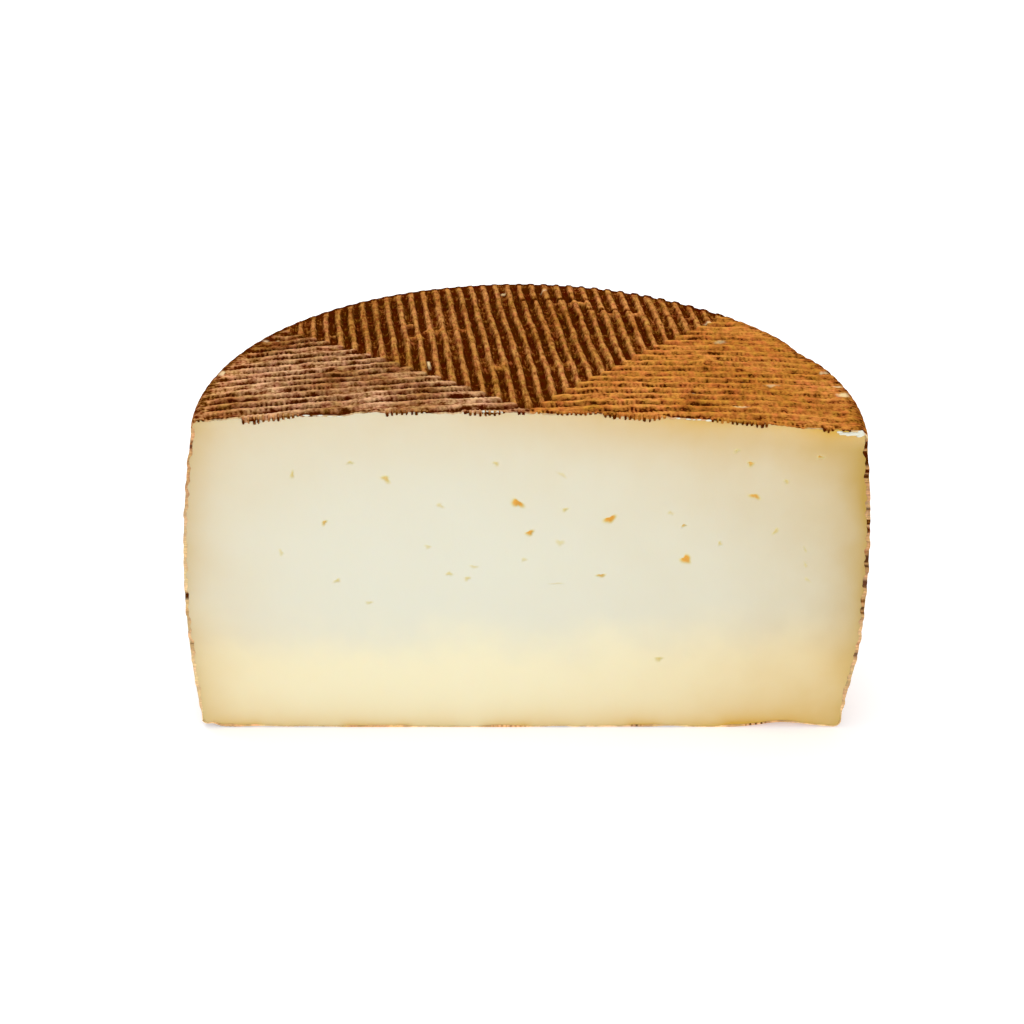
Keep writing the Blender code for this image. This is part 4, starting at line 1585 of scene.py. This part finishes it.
def twist_ends(form, material):
    """Makes the ends of the twists that hang side by side over the cut in the fringes, darker downwards."""
    random = np.random.default_rng(TWIST_SEED)
    pitch = form.ridges.bead_pitch / MM
    counts = [max(1, round((last - first) / pitch)) for first, last, *_ in CUT_FRINGES]
    rows = [
        first + (last - first) * (np.arange(count) + 0.5) / count
        for (first, last, *_), count in zip(CUT_FRINGES, counts)
    ]
    x = np.concatenate(rows)
    x = (x + random.uniform(*PLACE_VARIES, len(x))) * MM
    hang, _, dark = fringe(x)
    hang = np.maximum(hang * random.uniform(*LENGTH_VARIES, len(x)), LEAST_LENGTH)
    top = np.interp(x, *cut_line(form, Face(form, "top"))) + ABOVE_EDGE
    middle = np.stack([x, np.full_like(x, CUT_Y + BEHIND_CUT), top - hang / 2], -1)
    widths = TWIST_HALF_WIDTH * random.uniform(*WIDTH_VARIES, len(x))
    radii = np.stack([widths, np.full_like(x, TWIST_HALF_DEPTH), hang / 2 + ABOVE_EDGE], -1)
    points, triangles, down = balls(middle, radii, BLUNT, "uneven twist")
    own = dark * random.uniform(*SHADE_VARIES, len(x))
    left_tones, right_tones = (tones(name, points[:, 0], points[:, 1]) for name in ("left", "right"))
    dust, gold, _ = np.where(points[:, 0] < form.ridges.apex_x, left_tones, right_tones)
    masks = {
        "fall": (TWIST_SHADE + own[:, None, None] * blend(*DARKENING, down)).ravel(),
        "dust": TWIST_DUST_AND_SHEEN * dust,
        "gold": np.maximum(gold, TWIST_GOLD),
        "fleck": np.zeros(len(points)),
        "strand_along": points[:, 2],
        "strand_across": points[:, 0],
    }
    return put_in("rind_top_twist_ends", points, triangles, masks, material, "rind")


# Materials


def node(tree, kind, inputs, **settings):
    """Adds a shader node with its settings, and its inputs by name or number, as values or as sockets."""
    made = tree.nodes.new("ShaderNode" + kind)
    for name, value in settings.items():
        setattr(made, name, value)
    for name, value in inputs.items():
        if isinstance(value, bpy.types.NodeSocket):
            tree.links.new(value, made.inputs[name])
        else:
            made.inputs[name].default_value = value
    return made


def new_material(name):
    """An empty material with its shader and its tree."""
    material = bpy.data.materials.new(name)
    material.use_nodes = True
    return material, material.node_tree, material.node_tree.nodes["Principled BSDF"]


def opaque(rgb):
    """A colour property as the four numbers of a socket."""
    return (*rgb, 1.0)


# A colour mix's sockets, by number because the mix's other kinds have the same names: the colour underneath,
# the one laid over it by the share in socket 0, and the result
UNDER = 6
OVER = 7
MIXED = 2


# The noises that change the rind's and the paste's colours, by the size of their grain and its detail
Noise = namedtuple("Noise", "cell detail")
RIND_NOISES = {
    "blotch": Noise(17 * MM, 4.0),
    "speckle": Noise(1.9 * MM, 4.0),
    "tinge": Noise(2.6 * MM, 2.0),
    "grit": Noise(0.6 * MM, 2.0),
    "fibre": Noise(0.62 * MM, 2.0),
}
FIBRE_SHARE = 0.18  # how much a fibre's place moves along it
SHADE_SHIFTS = {"speckle": 1.9, "fibre": 1.9, "grit": 1.0}  # how much a noise shifts the shade
RIND_RANGES = {
    # What comes of the shade or of a noise: of which, between which two of its values, from what to what, and
    # whether the change is eased
    "to_flank": ("shade", -0.12, 0.34, 0.0, 1.0, "SMOOTHSTEP"),
    "to_groove": ("shade", 0.38, 0.95, 0.0, 1.0, "SMOOTHSTEP"),
    "on_crest": ("shade", 0.75, 0.0, 0.0, 1.0, "LINEAR"),
    "oiled": ("shade", 1.0, 0.1, 0.0, 0.9, "LINEAR"),
    # painted highlight: the next range brightens the crests, partly wear from rubbing and partly a painted
    # highlight
    "rubbed_and_highlight": ("shade", 0.2, -0.4, 1.0, 1.4, "LINEAR"),
    "patchy": ("blotch", 0.35, 0.65, 0.2, 1.0, "LINEAR"),
    "cloudy": ("blotch", 0.25, 0.75, 0.8, 1.2, "LINEAR"),
    "hue": ("tinge", 0.3, 0.7, 0.487, 0.513, "LINEAR"),
    "rough": ("speckle", 0.2, 0.8, 0.45, 0.7, "LINEAR"),
}
RIND_BUMP = {"Strength": 0.7, "Distance": 0.25 * MM}
GRIT_RELIEF = 0.5
PASTE_CLOUD = Noise(26 * MM, 3.0)
PASTE_GRIT = Noise(0.7 * MM, 3.0)
# The paste: how far the clouds move the height at which it turns warmer, that height, how the clouds weaken
# and strengthen the dry colours, and which parts of a hole's mark show its rim and its inside
CLOUD_DRIFT = 30 * MM
WARMER = (62 * MM, 35 * MM)
DRY_PATCHES = (0.3, 0.7, 0.8, 1.2)
RIM_MARK = (0.0, 0.7)
INNER_MARK = (0.45, 0.95)
PASTE_BUMP = {"Strength": 0.35, "Distance": 0.08 * MM}


def rind_material(form, name):
    """Pressed and oiled rind: washed with oil, pale on its crests and dark in its grooves.

    The crests' paleness is partly wear from rubbing and partly a painted highlight, and the grooves' dark is
    partly the rind's own colour and partly painted shade. The fall under the crests leads from tan through
    orange brown to dark brown. Speckles and the print of the plait's fibres shift that, a dusty bloom with a
    painted sheen and gold tint the crests, and a fine grit roughens the light.
    """
    colours = form.colours
    material, tree, shader = new_material(name)
    place = node(tree, "TexCoord", {}).outputs["Object"]
    fall, dust, gold, fleck, along, across = (
        node(tree, "Attribute", {}, attribute_name=mask).outputs["Fac"]
        for mask in ("fall", "dust", "gold", "fleck", "strand_along", "strand_across")
    )
    drawn_out = node(tree, "Math", {0: along, 1: FIBRE_SHARE}, operation="MULTIPLY").outputs[0]
    fibre_place = node(tree, "CombineXYZ", {0: drawn_out, 1: across}).outputs[0]
    values = {}
    for noise, (cell, detail) in RIND_NOISES.items():
        at = fibre_place if noise == "fibre" else place
        inputs = {"Vector": at, "Scale": 1 / cell, "Detail": detail}
        values[noise] = node(tree, "TexNoise", inputs).outputs["Fac"]
    shade = fall
    for noise, strength in SHADE_SHIFTS.items():
        shift = node(tree, "Math", {0: values[noise], 1: 0.5}, operation="SUBTRACT").outputs[0]
        shade = node(tree, "Math", {0: shift, 1: strength, 2: shade}, operation="MULTIPLY_ADD").outputs[0]
    values["shade"] = shade
    for result, (source, *limits, way) in RIND_RANGES.items():
        inputs = {0: values[source], **dict(enumerate(limits, 1))}
        values[result] = node(tree, "MapRange", inputs, interpolation_type=way).outputs[0]
    gold_share = node(tree, "Math", {0: gold, 1: values["oiled"]}, operation="MULTIPLY").outputs[0]
    # painted sheen: the crests' dusty bloom is partly real and partly a painted sheen
    crest_dust_and_sheen = node(tree, "Math", {0: dust, 1: values["on_crest"]}, operation="MULTIPLY").outputs[0]
    dust_and_sheen_share = node(tree, "Math", {0: crest_dust_and_sheen, 1: values["patchy"]}, operation="MULTIPLY").outputs[0]
    base = opaque(colours.crest)
    for share, tint in (
        (values["to_flank"], colours.flank), (gold_share, colours.gold), (dust_and_sheen_share, colours.dust),
        (values["to_groove"], colours.groove), (fleck, colours.fleck),
    ):
        base = node(tree, "Mix", {0: share, UNDER: base, OVER: opaque(tint)}, data_type="RGBA").outputs[MIXED]
    # painted highlight: the crests' brightening, partly wear and partly a painted highlight
    light = node(tree, "Math", {0: values["cloudy"], 1: values["rubbed_and_highlight"]}, operation="MULTIPLY").outputs[0]
    inputs = {"Hue": values["hue"], "Value": light, "Color": base}
    base = node(tree, "HueSaturation", inputs).outputs[0]
    tree.links.new(base, shader.inputs["Base Color"])
    tree.links.new(values["rough"], shader.inputs["Roughness"])
    shader.inputs["IOR"].default_value = 1.46
    shader.inputs["Specular IOR Level"].default_value = 0.0
    inputs = {0: values["grit"], 1: GRIT_RELIEF, 2: values["fibre"]}
    relief = node(tree, "Math", inputs, operation="MULTIPLY_ADD").outputs[0]
    bump = node(tree, "Bump", {**RIND_BUMP, "Height": relief}).outputs[0]
    tree.links.new(bump, shader.inputs["Normal"])
    return material


def paste_material(form):
    """Cut paste of a cured sheep's milk cheese: ivory, close and faintly oily, so light goes a little way in.

    The colour warms towards the base, turns tan next to the rind, olive tan at the sides, partly drier paste
    and partly painted shade, pale mustard round the holes and gold in them.
    """
    colours = form.colours
    material, tree, shader = new_material("cut_ivory_paste")
    place = node(tree, "TexCoord", {}).outputs["Object"]
    height = node(tree, "SeparateXYZ", {0: place}).outputs[2]
    cloud, grit = (
        node(tree, "TexNoise", {"Vector": place, "Scale": 1 / cell, "Detail": detail}).outputs["Fac"]
        for cell, detail in (PASTE_CLOUD, PASTE_GRIT)
    )
    eye, dry, edge_dry = (
        node(tree, "Attribute", {}, attribute_name=mask).outputs["Fac"] for mask in ("eye", "dry", "edge_dry")
    )
    drift = node(tree, "Math", {0: cloud, 1: CLOUD_DRIFT, 2: height}, operation="MULTIPLY_ADD").outputs[0]
    inputs = {0: drift, 1: WARMER[0], 2: WARMER[1]}
    low = node(tree, "MapRange", inputs, interpolation_type="SMOOTHSTEP").outputs[0]
    inputs = {0: low, UNDER: opaque(colours.paste), OVER: opaque(colours.paste_low)}
    base = node(tree, "Mix", inputs, data_type="RGBA").outputs[MIXED]
    patch = node(tree, "MapRange", {0: cloud, **dict(enumerate(DRY_PATCHES, 1))}).outputs[0]
    # painted shade: the second tint, at the sides, is partly drier paste and partly painted shade
    for mask, tint in ((dry, colours.paste_dry), (edge_dry, colours.paste_edge_and_shade)):
        share = node(tree, "Math", {0: mask, 1: patch}, operation="MULTIPLY", use_clamp=True).outputs[0]
        base = node(tree, "Mix", {0: share, UNDER: base, OVER: opaque(tint)}, data_type="RGBA").outputs[MIXED]
    for (first, last), tint in ((RIM_MARK, colours.eye_rim), (INNER_MARK, colours.eye)):
        inputs = {0: eye, 1: first, 2: last}
        share = node(tree, "MapRange", inputs, interpolation_type="SMOOTHSTEP").outputs[0]
        base = node(tree, "Mix", {0: share, UNDER: base, OVER: opaque(tint)}, data_type="RGBA").outputs[MIXED]
    tree.links.new(base, shader.inputs["Base Color"])
    shader.inputs["Roughness"].default_value = 0.48
    shader.inputs["IOR"].default_value = 1.45
    shader.inputs["Subsurface Weight"].default_value = 0.25
    shader.inputs["Subsurface Radius"].default_value = (1.0, 0.7, 0.4)
    shader.inputs["Subsurface Scale"].default_value = 1.2 * MM
    bump = node(tree, "Bump", {**PASTE_BUMP, "Height": grit}).outputs[0]
    tree.links.new(bump, shader.inputs["Normal"])
    return material


def crumb_material(form):
    """Crumbled paste: the same cheese broken small, which scatters its light near the surface."""
    material, _, shader = new_material("crumbled_paste")
    shader.inputs["Base Color"].default_value = opaque(form.colours.paste)
    shader.inputs["Roughness"].default_value = 0.6
    return material


# The stage

# The photo's camera: its picture and focal length in pixels, the sensor in millimetres, how far it looks
# down, and a point of the cheese with its pixel and its distance along the view
PHOTO_PIXELS = 1024
FOCAL_PIXELS = 2000.0
SENSOR = 36.0
ELEVATION = np.radians(29.4)
ANCHOR = np.array([1.6 * MM, CUT_Y, 113.3 * MM])
ANCHOR_PIXEL = (530.0, 409.75)
ANCHOR_DEPTH = 584.3 * MM
NEAREST = 0.01
FARTHEST = 20.0


def photo_camera():
    """The photograph's camera: level, above the cheese, with a point of the cut's top edge at its pixel."""
    forward = np.array([0, np.cos(ELEVATION), -np.sin(ELEVATION)])
    upward = np.array([0, np.sin(ELEVATION), np.cos(ELEVATION)])
    right = np.array([1.0, 0, 0])
    per_pixel = ANCHOR_DEPTH / FOCAL_PIXELS
    half = PHOTO_PIXELS / 2
    rightwards = (ANCHOR_PIXEL[0] - half) * per_pixel
    upwards = (half - ANCHOR_PIXEL[1]) * per_pixel
    place = ANCHOR - ANCHOR_DEPTH * forward - rightwards * right - upwards * upward
    lens = bpy.data.cameras.new("photo_camera")
    lens.sensor_width = SENSOR
    lens.lens = SENSOR * FOCAL_PIXELS / PHOTO_PIXELS
    lens.clip_start, lens.clip_end = NEAREST, FARTHEST
    camera = bpy.data.objects.new("photo_camera", lens)
    turn = Matrix(np.stack([right, upward, -forward], 1)).to_4x4()
    camera.matrix_world = Matrix.Translation(place) @ turn
    bpy.context.scene.collection.objects.link(camera)
    bpy.context.scene.camera = camera


LAMPS = (
    # Name, place in metres, size in metres, power in watts
    ("soft_top", (-0.25, 0.35, 0.9), 0.9, 4.6),
    ("soft_front", (0.5, -0.9, 0.7), 0.8, 2.5),
)
# The strengths of the sky and of the floor's glow, half the floor's width in metres, and how far it lies
# under the cheese
SKY = 0.75
FLOOR_GLOW = 0.41
FLOOR_HALF = 3.0
FLOOR_GAP = 0.05 * MM


def lamps():
    """Large soft square lamps that face the cheese, and an even white sky."""
    for name, place, width, power in LAMPS:
        light = bpy.data.lights.new(name, "AREA")
        light.size = width
        light.energy = power
        lamp = bpy.data.objects.new(name, light)
        lamp.location = place
        lamp.rotation_mode = "QUATERNION"
        lamp.rotation_quaternion = Vector(place).to_track_quat("Z", "Y")
        bpy.context.scene.collection.objects.link(lamp)
    world = bpy.data.worlds.new("white_sky")
    world.use_nodes = True
    sky = world.node_tree.nodes["Background"]
    sky.inputs["Color"].default_value = (1, 1, 1, 1)
    sky.inputs["Strength"].default_value = SKY
    bpy.context.scene.world = world
    bpy.context.scene.view_settings.view_transform = "Standard"


def floor(form):
    """A plain pale floor, large enough to fill the view, with a faint glow that keeps its shadows light."""
    mesh = bpy.data.meshes.new("floor")
    ways = ((-1, -1), (1, -1), (1, 1), (-1, 1))
    corners = [(x * FLOOR_HALF, y * FLOOR_HALF, -FLOOR_GAP) for x, y in ways]
    mesh.from_pydata(corners, [], [(0, 1, 2, 3)])
    material, tree, shader = new_material("matt_white_floor")
    shader.inputs["Base Color"].default_value = opaque(form.colours.floor)
    shader.inputs["Roughness"].default_value = 0.9
    shader.inputs["Specular IOR Level"].default_value = 0.0
    shader.inputs["Emission Color"].default_value = (1, 1, 1, 1)
    shader.inputs["Emission Strength"].default_value = FLOOR_GLOW
    mesh.materials.append(material)
    piece = bpy.data.objects.new("floor", mesh)
    bpy.context.scene.collection.objects.link(piece)


# The add-on


def shared_rind(form):
    """The flat faces' rind material, made once."""
    name = "board_pressed_rind"
    return bpy.data.materials.get(name) or rind_material(form, name)


class MANCHEGO_OT_top_rind(bpy.types.Operator):
    """Build the top's ridged rind in four pieces, and the ends of the twists that hang over the cut"""

    bl_idname = "manchego.top_rind"
    bl_label = "Top Rind"

    def execute(self, context):
        form = context.scene.half_wheel
        for side in (-1, 1):
            for sector in ("flank", "back"):
                face_crust(form, Face(form, "top"), sector, side, shared_rind(form))
        twist_ends(form, shared_rind(form))
        return {"FINISHED"}


class MANCHEGO_OT_base_rind(bpy.types.Operator):
    """Build the base's ridged rind in four pieces"""

    bl_idname = "manchego.base_rind"
    bl_label = "Base Rind"

    def execute(self, context):
        form = context.scene.half_wheel
        for side in (-1, 1):
            for sector in ("flank", "back"):
                face_crust(form, Face(form, "base"), sector, side, shared_rind(form))
        return {"FINISHED"}


class MANCHEGO_OT_side_rind(bpy.types.Operator):
    """Build the round side with the print of the plaited band"""

    bl_idname = "manchego.side_rind"
    bl_label = "Side Rind"

    def execute(self, context):
        form = context.scene.half_wheel
        material = rind_material(form, "band_printed_rind")
        for side in (-1, 1):
            side_crust(form, side, material)
        return {"FINISHED"}


class MANCHEGO_OT_paste(bpy.types.Operator):
    """Build the paste with its cut face, and the crumbs on its edge"""

    bl_idname = "manchego.paste"
    bl_label = "Paste"

    def execute(self, context):
        form = context.scene.half_wheel
        paste_core(form, paste_material(form))
        crumbs(form, crumb_material(form))
        return {"FINISHED"}


class MANCHEGO_OT_stage(bpy.types.Operator):
    """Build the floor, the lamps, the sky and the camera"""

    bl_idname = "manchego.stage"
    bl_label = "Stage"

    def execute(self, context):
        floor(context.scene.half_wheel)
        lamps()
        photo_camera()
        return {"FINISHED"}


OPERATORS = (
    MANCHEGO_OT_top_rind,
    MANCHEGO_OT_base_rind,
    MANCHEGO_OT_side_rind,
    MANCHEGO_OT_paste,
    MANCHEGO_OT_stage,
)


class MANCHEGO_PT_panel(bpy.types.Panel):
    """The steps in order, and the sizes and colours"""

    bl_label = "Half Wheel of Manchego"
    bl_idname = "MANCHEGO_PT_panel"
    bl_space_type = "VIEW_3D"
    bl_region_type = "UI"
    bl_category = "Cheese"

    def draw(self, context):
        for operator in OPERATORS:
            self.layout.operator(operator.bl_idname)
        for group in ("wheel", "ridges", "band", "colours"):
            box = self.layout.box()
            settings = getattr(context.scene.half_wheel, group)
            for name in settings.bl_rna.properties.keys():
                if name not in ("rna_type", "name"):
                    box.prop(settings, name)


GROUPS = (WheelSizes, RidgeSizes, BandSizes, CheeseColours, HalfWheel)


def register():
    """Adds the property groups, the operators and the panel."""
    for made in (*GROUPS, *OPERATORS, MANCHEGO_PT_panel):
        bpy.utils.register_class(made)
    bpy.types.Scene.half_wheel = PointerProperty(type=HalfWheel)


def unregister():
    """Takes them away again."""
    del bpy.types.Scene.half_wheel
    for made in reversed((*GROUPS, *OPERATORS, MANCHEGO_PT_panel)):
        bpy.utils.unregister_class(made)


def main():
    """Builds everything in order."""
    register()
    bpy.ops.manchego.top_rind()
    bpy.ops.manchego.base_rind()
    bpy.ops.manchego.side_rind()
    bpy.ops.manchego.paste()
    bpy.ops.manchego.stage()


if __name__ == "__main__":
    main()
